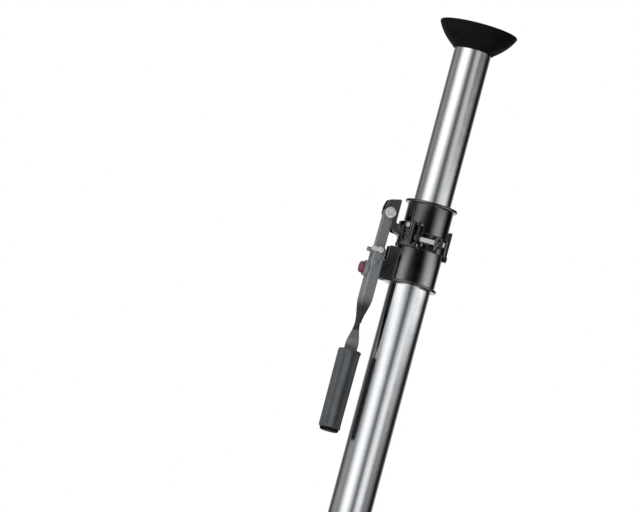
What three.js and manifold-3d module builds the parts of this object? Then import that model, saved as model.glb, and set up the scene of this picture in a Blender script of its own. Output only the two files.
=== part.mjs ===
// A floor to ceiling tension pole: two telescoping aluminium tubes between rubber cups, with a
// toggle lever beside two collars that jacks the inner tube up against the ceiling.
// Millimetres, +Z up along the pole. The origin is the middle of the foot's sole, and the lever
// hangs on the -X side.
import * as THREE from 'three';
import { mergeVertices } from 'three/addons/utils/BufferGeometryUtils.js';
import Module from 'manifold-3d';

const wasm = await Module();
wasm.setup();

// The whole pole
const CLOSED_LENGTH = 2100; // from the floor to the ceiling, as short as the pole goes
const EXPOSED_TUBE = 170.5; // inner tube between the upper collar and the head cup
const FIT_GAP = 0.3; // between pieces that touch
const WORKING_GAP = 0.5; // between pieces that pass each other
const OVERRUN = 2; // how far a cutter reaches past what it cuts
const MERGE_TOLERANCE = 0.0003; // points closer than this are one point
const TUBE_SIDES = 40;
const COLLAR_SIDES = 48;
const PIN_SIDES = 20;
const SMALL_SIDES = 12;
const WIRE_SIDES = 8;
const HEX_SIDES = 6;
const ARC_STEPS = 6;

// Tubes
const OUTER_TUBE_RADIUS = 22.5;
const OUTER_TUBE_WALL = 1.75;
const OUTER_TUBE_BORE = OUTER_TUBE_RADIUS - OUTER_TUBE_WALL;
const TUBE_PLAY = 0.75; // between the two tubes, all round
const INNER_TUBE_RADIUS = OUTER_TUBE_BORE - TUBE_PLAY;
const INNER_TUBE_WALL = 1.5;
const INNER_TUBE_BORE = INNER_TUBE_RADIUS - INNER_TUBE_WALL;

// Rubber cup, plug, cone and bolt at each end
const PLUG_FLANGE_WIDTH = 4.5; // past the outer tube
const PLUG_FLANGE_RADIUS = OUTER_TUBE_RADIUS + PLUG_FLANGE_WIDTH;
const PLUG_FLANGE_THICKNESS = 3.5;
const PLUG_LENGTH = 36;
const PLUG_MOUTH_WALL = 4.5;
const PLUG_MOUTH_RADIUS = INNER_TUBE_BORE - PLUG_MOUTH_WALL;
const PLUG_MOUTH_DEPTH = 15;
const CUP_OVERHANG = 15; // of the cup's rim past the plug
const CUP_RADIUS = PLUG_FLANGE_RADIUS + CUP_OVERHANG;
const CUP_HEIGHT = 25.5;
const CUP_NECK_WALL = 1.9;
const CUP_LIP_THICKNESS = 1.6;
const CUP_LIP_WIDTH = 5;
const CUP_WAIST_WIDTH = 9.5; // of the rubber past the plug, half way up the flare
const CUP_WAIST_RADIUS = PLUG_FLANGE_RADIUS + CUP_WAIST_WIDTH;
const CUP_WAIST_HEIGHT = 14;
const CUP_RECESS_DEPTH = 2.2;
const CUP_RECESS_SLOPE = 1.5;
const CUP_RECESS_WIDTH = 23; // from the pad to the lip
const CUP_PAD_RADIUS = CUP_RADIUS - CUP_LIP_WIDTH - CUP_RECESS_WIDTH;
const CUP_FLOOR = 6;
const TUBE_SEAT = CUP_FLOOR + FIT_GAP + PLUG_FLANGE_THICKNESS + FIT_GAP;
const CONE_LENGTH = 11;
const END_BOLT_RADIUS = 4;
const END_BOLT_HEAD_RADIUS = 6.5;
const END_BOLT_HEAD_HEIGHT = 2.6;
const END_BOLT_TAIL = 6; // bolt that stands out past the cone
const END_BOLT_TOP = CUP_FLOOR + PLUG_LENGTH + END_BOLT_TAIL;

// Collars, with heights from the upper collar's top down
const COLLAR_TOP = CLOSED_LENGTH - CUP_HEIGHT - EXPOSED_TUBE;
const COLLAR_BORE = INNER_TUBE_RADIUS + FIT_GAP;
const COLLAR_BUSH_WALL = 1.4;
const UPPER_COLLAR_HEIGHT = 33.5;
const UPPER_COLLAR_WALL = 2.75;
const UPPER_COLLAR_RADIUS = COLLAR_BORE + COLLAR_BUSH_WALL + FIT_GAP + UPPER_COLLAR_WALL;
const COLLAR_SPACE = 15; // between the upper and the lower collar
const LOWER_TOP = -UPPER_COLLAR_HEIGHT - COLLAR_SPACE;
const LOWER_COLLAR_HEIGHT = 42.7;
const LOWER_BOTTOM = LOWER_TOP - LOWER_COLLAR_HEIGHT;
const LOWER_COLLAR_WALL = 2.7;
const LOWER_COLLAR_RADIUS = OUTER_TUBE_RADIUS + FIT_GAP + LOWER_COLLAR_WALL;
const FLANGE_WIDTH = 2.8;
const FLANGE_RADIUS = LOWER_COLLAR_RADIUS + FLANGE_WIDTH;
const FLANGE_HEIGHT = 3;
const GUIDE_BUSH_HEIGHT = 4;
const GUIDE_BUSH_BOTTOM = LOWER_TOP - GUIDE_BUSH_HEIGHT;
const INNER_BUSH_HEIGHT = 5;
const INNER_BUSH_SPIGOT = 14;
const INNER_BUSH_WALL = 4;
const INNER_TUBE_START = END_BOLT_TOP + WORKING_GAP + INNER_BUSH_HEIGHT + FIT_GAP;
const COLLAR_TRAVEL = 5; // how far the upper collar and ring sink as the lever opens

// Grip ring, and its skirt that hangs over the lower collar's top
const RING_HEIGHT = 9;
const RING_TOP = -UPPER_COLLAR_HEIGHT - FIT_GAP;
const RING_BOTTOM = RING_TOP - RING_HEIGHT;
const RING_PAD_WALL = 1.2;
const RING_SLOT = 2.5;
const SKIRT_PLAY = 0.6;
const SKIRT_BORE = LOWER_COLLAR_RADIUS + SKIRT_PLAY;
const SKIRT_WALL = 0.9;
const SKIRT_RADIUS = SKIRT_BORE + SKIRT_WALL;
const SKIRT_OVERHANG = 3;

// Yoke round the ring's lever side
const YOKE_RISE = 8.8; // above the ring's top
const YOKE_TOP = RING_TOP + YOKE_RISE;
const YOKE_BOTTOM = LOWER_TOP - SKIRT_OVERHANG;
const YOKE_REAR_DROP = 16; // the yoke is shorter away from its pinch bolt
const YOKE_REAR_BOTTOM = YOKE_TOP - YOKE_REAR_DROP;
const YOKE_WALL = 3.3;
const YOKE_RADIUS = SKIRT_BORE + YOKE_WALL;
const YOKE_HALF_SPREAD = THREE.MathUtils.degToRad(52); // from the lever's side round to each end
const YOKE_FLANK_START = THREE.MathUtils.degToRad(17.5); // where the tall front flank starts
const BRIDGE_HALF_SPREAD = THREE.MathUtils.degToRad(44);
const YOKE_WINDOW_WIDTH = 7;
const YOKE_WINDOW_HEIGHT = 4.2;
const YOKE_WINDOW_DEPTH = 1.5;
const YOKE_WINDOW_DROP = 10; // from the yoke's top to the middle of the upper window
const YOKE_WINDOW_PITCH = 7.6;
const YOKE_FEATURE_ANGLE = THREE.MathUtils.degToRad(36); // windows and screws, from the lever's side
const YOKE_SCREW_DROP = 4.3;
const YOKE_SCREW_HEIGHT = YOKE_TOP - YOKE_SCREW_DROP;
const YOKE_SCREW_RADIUS = 1.5;
const YOKE_SCREW_HEAD_RADIUS = 2.6;
const YOKE_SCREW_HEAD_HEIGHT = 1.2;

// Swing bolt with its pin, knuckles, lug and nut
const PINCH_ANGLE = THREE.MathUtils.degToRad(-104);
const PINCH_BOLT_DROP = 17;
const PINCH_BOLT_HEIGHT = YOKE_TOP - PINCH_BOLT_DROP;
const PINCH_BOLT_RADIUS = 2.9;
const PINCH_BOLT_STANDOFF = 1.8; // from the yoke's outside to the bolt's axis
const PINCH_BOLT_REACH = YOKE_RADIUS + PINCH_BOLT_STANDOFF;
const PINCH_BOLT_TAIL = 2.4;
const PINCH_EYE_RADIUS = 4.6;
const PINCH_EYE_HEIGHT = 6.5;
const SWING_PIN_OFFSET = -7; // sideways from the pinch direction
const SWING_PIN_RADIUS = 2.1;
const SWING_PIN_PROUD = 1.2;
const KNUCKLE_RADIUS = 4;
const KNUCKLE_HEIGHT = 3.6;
const KNUCKLE_WEB = 3;
const NUT_LUG_OFFSET = 12;
const NUT_LUG_THICKNESS = 5;
const NUT_LUG_MARGIN = 4.8; // outward past the bolt's axis
const NUT_LUG_REACH = PINCH_BOLT_REACH + NUT_LUG_MARGIN;
const NUT_LUG_RISE = 5;
const NUT_LUG_TOP = PINCH_BOLT_HEIGHT + NUT_LUG_RISE;
const NUT_LUG_DEPTH = 8.5;
const NUT_LUG_BOTTOM = PINCH_BOLT_HEIGHT - NUT_LUG_DEPTH;
const NUT_LUG_ROOT = 2.4; // of the ring's height above the lug's top that the lug's foot takes in
const PINCH_NUT_RADIUS = 5.4;
const PINCH_NUT_HEIGHT = 4;

// Toggle: top pivot on the ring's ear, link, crank on the lever, fulcrum on the lower collar
const FULCRUM_STANDOFF = 14.1; // from the yoke's outside to the fulcrum's axis
const FULCRUM_X = -YOKE_RADIUS - FULCRUM_STANDOFF;
const FULCRUM_DROP = 20.37; // below the lower collar's top
const FULCRUM_Z = LOWER_TOP - FULCRUM_DROP;
const FULCRUM_PIN_RADIUS = 2.2;
const FULCRUM_HEAD_RADIUS = 3.5;
const FULCRUM_HEAD_HEIGHT = 1;
const CRANK_RADIUS = 6.4;
const OVER_CENTRE = THREE.MathUtils.degToRad(5);
const CRANK_X = -CRANK_RADIUS * Math.sin(OVER_CENTRE);
const CRANK_Z = CRANK_RADIUS * Math.cos(OVER_CENTRE);
const TOP_PIVOT_RISE = 3.9; // above the yoke's top
const TOP_PIVOT_Z = YOKE_TOP + TOP_PIVOT_RISE;
const LINK_LENGTH = Math.hypot(CRANK_X, TOP_PIVOT_Z - FULCRUM_Z - CRANK_Z);
const LINK_TILT = Math.asin(-CRANK_X / LINK_LENGTH);
const LINK_HALF_DEPTH = 5.5;
const LINK_HALF_WIDTH = 4.2;
const TOGGLE_PLAY = 1.2; // room in the link's lower eye for the opened pivot
const TOGGLE_PIN_RADIUS = 2;
const TOGGLE_HEAD_RADIUS = 3.3;
const TOGGLE_HEAD_HEIGHT = 1.3;
const TOP_PIN_RADIUS = 2.5;
const TOP_PIN_HEAD_RADIUS = 6;
const TOP_PIN_HEAD_HEIGHT = 2.2;
const TOP_PIN_TAIL = 2; // past its clip
const CLIP_RADIUS = 4.4;
const CLIP_HEIGHT = 1;
const CLIP_MOUTH = 2.6;

// Ears
const EAR_SIDE_GAP = 0.4; // between the link and each ear
const EAR_INNER = LINK_HALF_WIDTH + EAR_SIDE_GAP;
const RING_EAR_THICKNESS = 2.6;
const RING_EAR_OUTER = EAR_INNER + RING_EAR_THICKNESS;
const RING_EAR_RISE = 17.1; // above the top pivot
const RING_EAR_TOP = TOP_PIVOT_Z + RING_EAR_RISE;
const RING_EAR_BOSS_RADIUS = 6;
const RING_EAR_THUMB_WIDTH = 13;
const RING_EAR_SLANT = 3.5; // fall of the top toward the lever
const RING_EAR_STRIP = 4.2;
const RING_EAR_BACK = 9; // from the top pivot to the upright's pole-side edge
const RING_EAR_SPINE = FULCRUM_X + RING_EAR_BACK;
const RING_EAR_ARM_DROP = 5; // below the yoke's top
const RING_EAR_ARM_TOP = YOKE_TOP - RING_EAR_ARM_DROP;
const RING_EAR_ARM_HEIGHT = 10;
const RING_EAR_ARM_BOTTOM = RING_EAR_ARM_TOP - RING_EAR_ARM_HEIGHT;
const FULCRUM_EAR_THICKNESS = 2.4;
const FULCRUM_EAR_OUTER = EAR_INNER + FULCRUM_EAR_THICKNESS;
const FULCRUM_EAR_TOP_DROP = 5.5; // below the lower collar's top
const FULCRUM_EAR_SHOULDER = 9.4; // from the fulcrum toward the pole
const FULCRUM_BOSS_RADIUS = 3.8;
const FULCRUM_BOSS_SWEEP = THREE.MathUtils.degToRad(216);
const FULCRUM_EAR_STEP = 2.6; // ear's edge below the fulcrum where the crank pin sweeps past
const FULCRUM_EAR_HEEL = 0.8; // ear's outer edge from the fulcrum toward the pole, beside the pawl pin
const FULCRUM_EAR_THROAT = 7.6; // how far below the fulcrum that edge starts
const EAR_BLOCK_DEPTH = 4.1; // of the block between the fulcrum ears, out from the collar
const EAR_BLOCK_FACE = -LOWER_COLLAR_RADIUS - EAR_BLOCK_DEPTH;
const EAR_BLOCK_TOP_DROP = 12; // below the fulcrum ears' top

// Lever, with heights from the fulcrum
const CHEEK_THICKNESS = 1.8;
const CHEEK_INNER = FULCRUM_EAR_OUTER + FIT_GAP;
const CHEEK_OUTER = CHEEK_INNER + CHEEK_THICKNESS;
const CHEEK_REACH = 5.3; // fulcrum to the cheeks' free edge
const CHEEK_TOP = 10.2;
const CHEEK_CORNER = 3;
const WEB_THICKNESS = 1.8;
const WEB_REACH = 6.9; // fulcrum to the web's outer face
const WEB_INNER = WEB_THICKNESS - WEB_REACH;
const WEB_TOP = -3.3;
const CHANNEL_END = -46;
const TAPER_LENGTH = 28;
const NECK_HEIGHT = CHANNEL_END - TAPER_LENGTH;
const NECK_LIP = 0.8;
const TWIST_LENGTH = 27;
const TANG_X = -1.8;
const TANG_WIDTH = 14;
const TANG_THICKNESS = 2.8;
const CHANNEL_STEPS = 8;
const TWIST_STEPS = 10;
const GRIP_DROP = 29.7; // from the neck to the grip's top
const GRIP_TOP = NECK_HEIGHT - GRIP_DROP;
const GRIP_LENGTH = 85.8;
const GRIP_BOTTOM = GRIP_TOP - GRIP_LENGTH;
const GRIP_TOP_RADIUS = 12;
const GRIP_BOTTOM_RADIUS = 11.4;
const GRIP_EDGE_ROUND = 2;
const GRIP_FLOOR = 7.5; // rubber below the tang
const TANG_END = GRIP_BOTTOM + GRIP_FLOOR;
const END_CAP_HEIGHT = 3;
const END_CAP_MARGIN = 1.2;
const END_CAP_RADIUS = GRIP_BOTTOM_RADIUS - END_CAP_MARGIN;
const KEEPER_THICKNESS = 1;
const KEEPER_OUTER = -10.5;
const KEEPER_INNER = 3;
const KEEPER_HEIGHT = 5;

// Latch: button, bezel, pawl and catch
const BUTTON_DROP = 15.4; // below the fulcrum
const BUTTON_RADIUS = 6.25;
const BUTTON_PROUD = 8.8; // from the web's outer face to the button's
const BUTTON_REACH = WEB_REACH + BUTTON_PROUD;
const BUTTON_ROUND = 1.6;
const BUTTON_BORE_RADIUS = 4.7;
const BUTTON_BORE_DEPTH = 1.8;
const BUTTON_TRAVEL = 2.5;
const STEM_RADIUS = 2;
const BEZEL_WALL = 2.45;
const BEZEL_RADIUS = BUTTON_RADIUS + FIT_GAP + BEZEL_WALL;
const BEZEL_HEIGHT = 4.2;
const BEZEL_FLOOR = 0.9;
const SPRING_RADIUS = 3.4;
const SPRING_WIRE_RADIUS = 0.3;
const SPRING_CURLS = 3;
const CURL_STEPS = 8;
const SPRING_SIDES = 5;
const PAWL_PIN_INSET = 3.5; // from the web's inner face to the pawl pin's axis
const PAWL_X = WEB_INNER + PAWL_PIN_INSET;
const PAWL_PIN_ABOVE_BUTTON = 7.7;
const PAWL_DROP = BUTTON_DROP - PAWL_PIN_ABOVE_BUTTON;
const PAWL_HALF_WIDTH = 1.7;
const PAWL_HUB_RADIUS = 2.9;
const PAWL_HUB_START = THREE.MathUtils.degToRad(60);
const PAWL_PIN_RADIUS = 1.5;
const PAWL_PIN_HEAD_RADIUS = 2.4;
const PAWL_PIN_HEAD_HEIGHT = 0.8;
const PAWL_TAIL_THICKNESS = 2.4;
const PAWL_TAIL_LENGTH = 11;
const PAWL_ARM_THICKNESS = 2.8;
const PAWL_HOOK_WIDTH = 2.4;
const PAWL_HOOK_DEPTH = 3;
const CATCH_X = 5;
const CATCH_BELOW_PAWL_PIN = 2;
const CATCH_DROP = PAWL_DROP + CATCH_BELOW_PAWL_PIN;
const CATCH_WIRE_RADIUS = 0.9;
const CATCH_BEND = 1.1;
const CATCH_TAIL = 2.2; // how deep each leg sits in the ear block
const STAPLE_STEPS = 24;

// Guide key and screws
const KEY_DEPTH = 2.7;
const KEY_OUTER = SKIRT_BORE + KEY_DEPTH;
const KEY_HALF_WIDTH = 6;
const KEY_RISE = 25.5; // above the lower collar's top
const KEY_TOP = LOWER_TOP + KEY_RISE;
const KEY_FOOT = 6.5; // below the lower collar's top
const KEY_BOTTOM = LOWER_TOP - KEY_FOOT;
const KEY_CHAMFER = 1.2;
const SCREW_RADIUS = 2;
const SCREW_HEAD_RADIUS = 3.4;
const SCREW_HEAD_HEIGHT = 1.8;
const COLLAR_SCREW_ANGLES = [THREE.MathUtils.degToRad(62), THREE.MathUtils.degToRad(118)];
const COLLAR_SCREW_LIFT = 14; // above the lower collar's bottom

// Finishes
const finish = (color, roughness, metalness) =>
  new THREE.MeshStandardMaterial({ color, roughness, metalness });
const ANODISED = finish(0xc8cacc, 0.32, 0.9);
const BLACK_PAINT = finish(0x141516, 0.25, 0.1);
const GREY_PAINT = finish(0x6c6f72, 0.45, 0.2);
const BLACK_RUBBER = finish(0x17171a, 0.7, 0);
const GREY_RUBBER = finish(0x4c4e51, 0.65, 0);
const ZINC = finish(0xc3c4c2, 0.3, 0.9);
const DARK_STEEL = finish(0x2b2c2e, 0.4, 0.8);
const SPRING_STEEL = finish(0x8d8f91, 0.35, 0.9);
const WHITE_NYLON = finish(0xd9d8d2, 0.5, 0);
const BLACK_PLASTIC = finish(0x1f2022, 0.5, 0);
const RED_PLASTIC = finish(0xc8283c, 0.35, 0);

// Turns a closed geometry into a solid, whichever way its faces were wound.
function solid(geometry) {
  const bare = geometry.index ? geometry.clone() : geometry;
  bare.deleteAttribute('normal');
  bare.deleteAttribute('uv');
  const merged = mergeVertices(bare, MERGE_TOLERANCE);
  const places = merged.attributes.position;
  const corners = Uint32Array.from(merged.index.array);
  const kept = [];
  let volume = 0;
  const [a, b, c] = [new THREE.Vector3(), new THREE.Vector3(), new THREE.Vector3()];
  for (let i = 0; i < corners.length; i += 3) {
    const [p, q, r] = [corners[i], corners[i + 1], corners[i + 2]];
    if (p === q || q === r || r === p) continue;
    a.fromBufferAttribute(places, p);
    b.fromBufferAttribute(places, q);
    c.fromBufferAttribute(places, r);
    volume += a.dot(b.cross(c));
    kept.push(p, q, r);
  }
  if (volume < 0) {
    for (let i = 0; i < kept.length; i += 3) [kept[i], kept[i + 1]] = [kept[i + 1], kept[i]];
  }
  return new wasm.Manifold(new wasm.Mesh({
    numProp: 3,
    vertProperties: Float32Array.from(places.array),
    triVerts: Uint32Array.from(kept),
  }));
}

// Turns a solid back into a geometry with flat faces.
function shape(body) {
  const mesh = body.getMesh();
  const geometry = new THREE.BufferGeometry();
  geometry.setAttribute('position', new THREE.BufferAttribute(mesh.vertProperties, 3));
  geometry.setIndex(new THREE.BufferAttribute(mesh.triVerts, 1));
  geometry.computeVertexNormals();
  return geometry;
}

function piece(name, body, material) {
  const mesh = new THREE.Mesh(shape(body), material);
  mesh.name = name;
  return mesh;
}

const joined = (...bodies) => bodies.reduce((sum, body) => sum.add(body));
const cut = (body, ...cutters) => cutters.reduce((rest, cutter) => rest.subtract(cutter), body);

// Spins [radius, height] points about Z. The outline closes on itself or ends on the axis.
function spun(points, sides = COLLAR_SIDES) {
  const profile = points.map(([radius, height]) => new THREE.Vector2(radius, height));
  const onAxis = points[0][0] === 0 && points[points.length - 1][0] === 0;
  if (!onAxis) profile.push(profile[0].clone());
  const geometry = new THREE.LatheGeometry(profile, sides);
  geometry.rotateX(Math.PI / 2);
  return solid(geometry);
}

const ring = (inner, outer, bottom, top, sides = COLLAR_SIDES) =>
  spun([[inner, bottom], [outer, bottom], [outer, top], [inner, top]], sides);

const disc = (radius, bottom, top, sides = COLLAR_SIDES) =>
  spun([[0, bottom], [radius, bottom], [radius, top], [0, top]], sides);

// A box between two corners.
function block([x0, y0, z0], [x1, y1, z1]) {
  const geometry = new THREE.BoxGeometry(x1 - x0, y1 - y0, z1 - z0);
  geometry.translate((x0 + x1) / 2, (y0 + y1) / 2, (z0 + z1) / 2);
  return solid(geometry);
}

// Turns a body that was made along Z so that it lies along Y, pointing to -Y at its top.
function alongY(body) {
  return body.rotate([90, 0, 0]);
}

// Turns a body that was made along Z so that it lies along X, pointing to +X at its top.
function alongX(body) {
  return body.rotate([0, 90, 0]);
}

// A round bar along Y through a point of the XZ plane.
function crossBar(radius, x, z, back, front, sides = PIN_SIDES) {
  return alongY(disc(radius, -front, -back, sides)).translate([x, 0, z]);
}

// A plate with an outline in the XZ plane, from y0 to y1.
function plate(outline, y0, y1) {
  const geometry = new THREE.ExtrudeGeometry(outline, {
    depth: y1 - y0, bevelEnabled: false, curveSegments: ARC_STEPS,
  });
  geometry.rotateX(Math.PI / 2);
  geometry.translate(0, y1, 0);
  return solid(geometry);
}

const outlineOf = (points) => new THREE.Shape(points.map(([x, z]) => new THREE.Vector2(x, z)));

// The same plate on both sides of the middle plane.
function twinPlates(outline, inner, outer) {
  return joined(plate(outline, -outer, -inner), plate(outline, inner, outer));
}

// A closed skin through rings of points that all have the same count.
function loft(rings) {
  const count = rings[0].length;
  const points = rings.flat();
  const faces = [];
  for (let r = 0; r < rings.length - 1; r += 1) {
    for (let i = 0; i < count; i += 1) {
      const [a, b] = [r * count + i, r * count + (i + 1) % count];
      faces.push(a, b, b + count, a, b + count, a + count);
    }
  }
  const flat = rings[0].map((point) => new THREE.Vector2(point.x, point.y));
  const lastStart = (rings.length - 1) * count;
  for (const [a, b, c] of THREE.ShapeUtils.triangulateShape(flat, [])) {
    faces.push(c, b, a, lastStart + a, lastStart + b, lastStart + c);
  }
  const geometry = new THREE.BufferGeometry().setFromPoints(points);
  geometry.setIndex(faces);
  return solid(geometry);
}

// The end fittings, drawn with the sole at zero and the tube rising from it.
function endCup(tubeRadius) {
  const neck = tubeRadius + FIT_GAP;
  const flange = PLUG_FLANGE_RADIUS + FIT_GAP;
  const flare = new THREE.QuadraticBezierCurve(
    new THREE.Vector2(CUP_RADIUS, CUP_LIP_THICKNESS),
    new THREE.Vector2(CUP_WAIST_RADIUS, CUP_WAIST_HEIGHT),
    new THREE.Vector2(neck + CUP_NECK_WALL, CUP_HEIGHT),
  ).getPoints(ARC_STEPS).map((point) => [point.x, point.y]);
  const lipInner = CUP_RADIUS - CUP_LIP_WIDTH;
  return spun([
    [0, 0], [CUP_PAD_RADIUS, 0], [CUP_PAD_RADIUS + CUP_RECESS_SLOPE, CUP_RECESS_DEPTH],
    [lipInner - CUP_RECESS_SLOPE, CUP_RECESS_DEPTH], [lipInner, 0], [CUP_RADIUS, 0],
    ...flare,
    [neck, CUP_HEIGHT], [neck, TUBE_SEAT], [flange, TUBE_SEAT], [flange, CUP_FLOOR], [0, CUP_FLOOR],
  ]);
}

function endPlug(tubeBore) {
  const bore = END_BOLT_RADIUS + FIT_GAP;
  const headRoom = END_BOLT_HEAD_RADIUS + FIT_GAP;
  const spigot = tubeBore - FIT_GAP;
  const bottom = CUP_FLOOR + FIT_GAP;
  const shoulder = bottom + PLUG_FLANGE_THICKNESS;
  const end = bottom + PLUG_LENGTH;
  return spun([
    [headRoom, bottom], [PLUG_FLANGE_RADIUS, bottom], [PLUG_FLANGE_RADIUS, shoulder],
    [spigot, shoulder], [spigot, end], [PLUG_MOUTH_RADIUS, end], [bore, end - PLUG_MOUTH_DEPTH],
    [bore, bottom + END_BOLT_HEAD_HEIGHT + 2 * FIT_GAP],
    [headRoom, bottom + END_BOLT_HEAD_HEIGHT + 2 * FIT_GAP],
  ], TUBE_SIDES);
}

function endCone() {
  const bore = END_BOLT_RADIUS + FIT_GAP;
  const top = CUP_FLOOR + FIT_GAP + PLUG_LENGTH;
  const slope = (PLUG_MOUTH_RADIUS - bore) / PLUG_MOUTH_DEPTH;
  const radius = PLUG_MOUTH_RADIUS - WORKING_GAP;
  return spun([
    [bore, top - CONE_LENGTH], [radius - slope * CONE_LENGTH, top - CONE_LENGTH], [radius, top], [bore, top],
  ], TUBE_SIDES);
}

function endBolt() {
  const bottom = CUP_FLOOR + 2 * FIT_GAP;
  return joined(
    disc(END_BOLT_HEAD_RADIUS, bottom, bottom + END_BOLT_HEAD_HEIGHT, HEX_SIDES),
    disc(END_BOLT_RADIUS, bottom + END_BOLT_HEAD_HEIGHT / 2, END_BOLT_TOP, PIN_SIDES),
  );
}

function endFittings(prefix, tubeRadius, tubeBore) {
  const group = new THREE.Group();
  group.add(
    piece(`${prefix}_cup`, endCup(tubeRadius), BLACK_RUBBER),
    piece(`${prefix}_plug`, endPlug(tubeBore), BLACK_PLASTIC),
    piece(`${prefix}_cone`, endCone(), ZINC),
    piece(`${prefix}_bolt`, endBolt(), ZINC),
  );
  return group;
}

// Tubes
function outerTube() {
  const top = COLLAR_TOP + GUIDE_BUSH_BOTTOM - FIT_GAP;
  return ring(OUTER_TUBE_BORE, OUTER_TUBE_RADIUS, TUBE_SEAT, top, TUBE_SIDES);
}

function innerTube() {
  const top = CLOSED_LENGTH - TUBE_SEAT;
  return ring(INNER_TUBE_BORE, INNER_TUBE_RADIUS, INNER_TUBE_START, top, TUBE_SIDES);
}

function innerBush() {
  const outer = OUTER_TUBE_BORE - FIT_GAP;
  const spigot = INNER_TUBE_BORE - FIT_GAP;
  const shoulder = INNER_TUBE_START - FIT_GAP;
  const bore = spigot - INNER_BUSH_WALL;
  return spun([
    [bore, shoulder - INNER_BUSH_HEIGHT], [outer, shoulder - INNER_BUSH_HEIGHT], [outer, shoulder],
    [spigot, shoulder], [spigot, shoulder + INNER_BUSH_SPIGOT], [bore, shoulder + INNER_BUSH_SPIGOT],
  ], TUBE_SIDES);
}

// Collars, drawn with the upper collar's top at zero
function upperCollar() {
  const bore = COLLAR_BORE + COLLAR_BUSH_WALL + FIT_GAP;
  const body = spun([
    [bore, -UPPER_COLLAR_HEIGHT], [UPPER_COLLAR_RADIUS, -UPPER_COLLAR_HEIGHT],
    [UPPER_COLLAR_RADIUS, -FLANGE_HEIGHT], [FLANGE_RADIUS, -FLANGE_HEIGHT],
    [FLANGE_RADIUS, 0], [bore, 0],
  ]);
  return cut(body, ...yokeScrewPlaces().map((angle) => yokeScrewHole(angle)));
}

const collarBush = () => ring(COLLAR_BORE, COLLAR_BORE + COLLAR_BUSH_WALL, -UPPER_COLLAR_HEIGHT, 0);

const yokeScrewPlaces = () => [Math.PI + YOKE_FEATURE_ANGLE, Math.PI - YOKE_FEATURE_ANGLE];

// Places a body drawn along +X at an angle round the pole.
function around(body, angle, height) {
  return body.rotate([0, 0, THREE.MathUtils.radToDeg(angle)]).translate([0, 0, height]);
}

function yokeScrewHole(angle) {
  const hole = alongX(disc(YOKE_SCREW_RADIUS + FIT_GAP, COLLAR_BORE, YOKE_RADIUS + OVERRUN, SMALL_SIDES));
  return around(hole, angle, YOKE_SCREW_HEIGHT);
}

function yokeScrew() {
  const tip = COLLAR_BORE + COLLAR_BUSH_WALL + 2 * FIT_GAP;
  const seat = YOKE_RADIUS + FIT_GAP;
  return alongX(joined(
    disc(YOKE_SCREW_RADIUS, tip, seat + YOKE_SCREW_HEAD_HEIGHT / 2, SMALL_SIDES),
    disc(YOKE_SCREW_HEAD_RADIUS, seat, seat + YOKE_SCREW_HEAD_HEIGHT, PIN_SIDES),
  ));
}

// A sector between two angles from the lever's side, which are positive towards the front.
function sector(from, to, bottom, top) {
  const reach = YOKE_RADIUS + 2 * OVERRUN;
  const outline = new THREE.Shape();
  outline.moveTo(0, 0);
  outline.absarc(0, 0, reach, Math.PI + from, Math.PI + to, false);
  outline.lineTo(0, 0);
  const geometry = new THREE.ExtrudeGeometry(outline, {
    depth: top - bottom, bevelEnabled: false, curveSegments: ARC_STEPS,
  });
  geometry.translate(0, 0, bottom);
  return solid(geometry);
}

function ringEarOutline() {
  const outline = new THREE.Shape();
  const boss = RING_EAR_BOSS_RADIUS;
  const pivot = TOP_PIVOT_Z;
  outline.moveTo(-LOWER_COLLAR_RADIUS, RING_EAR_ARM_TOP);
  outline.lineTo(RING_EAR_SPINE, RING_EAR_ARM_TOP);
  outline.lineTo(RING_EAR_SPINE, RING_EAR_TOP);
  outline.lineTo(RING_EAR_SPINE - RING_EAR_THUMB_WIDTH, RING_EAR_TOP - RING_EAR_SLANT);
  outline.lineTo(FULCRUM_X - boss, pivot + boss);
  outline.absarc(FULCRUM_X, pivot, boss, Math.PI, 3 * Math.PI / 2, false);
  outline.lineTo(RING_EAR_SPINE - RING_EAR_STRIP, pivot - boss);
  outline.lineTo(RING_EAR_SPINE - RING_EAR_STRIP, RING_EAR_ARM_BOTTOM + RING_EAR_STRIP);
  outline.lineTo(RING_EAR_SPINE, RING_EAR_ARM_BOTTOM);
  outline.lineTo(-LOWER_COLLAR_RADIUS, RING_EAR_ARM_BOTTOM);
  return outline;
}

// Lugs are drawn looking along the pinch direction: x outward from the pole, y sideways.
function atPinch(body) {
  return body.rotate([0, 0, THREE.MathUtils.radToDeg(PINCH_ANGLE)]);
}

function swingKnuckles() {
  const place = [PINCH_BOLT_REACH, SWING_PIN_OFFSET, 0];
  const hole = disc(SWING_PIN_RADIUS + FIT_GAP, YOKE_BOTTOM - OVERRUN, YOKE_TOP + OVERRUN, PIN_SIDES);
  const heights = [[YOKE_TOP - KNUCKLE_HEIGHT, YOKE_TOP], [YOKE_BOTTOM, YOKE_BOTTOM + KNUCKLE_HEIGHT]];
  const inner = SKIRT_BORE;
  const edge = SWING_PIN_OFFSET - PINCH_EYE_RADIUS - WORKING_GAP;
  const reach = PINCH_BOLT_REACH + KNUCKLE_RADIUS;
  const knuckles = heights.map(([bottom, top]) => joined(
    disc(KNUCKLE_RADIUS, bottom, top, PIN_SIDES).translate(place),
    block([inner, edge - KNUCKLE_WEB, bottom], [reach, SWING_PIN_OFFSET, top]),
  ));
  const web = block([inner - KNUCKLE_WEB, edge - KNUCKLE_WEB, YOKE_BOTTOM], [reach, edge, YOKE_TOP]);
  const clear = disc(inner, YOKE_BOTTOM - OVERRUN, YOKE_TOP + OVERRUN);
  const body = cut(joined(...knuckles, web), hole.translate(place), clear);
  return atPinch(body);
}

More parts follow.
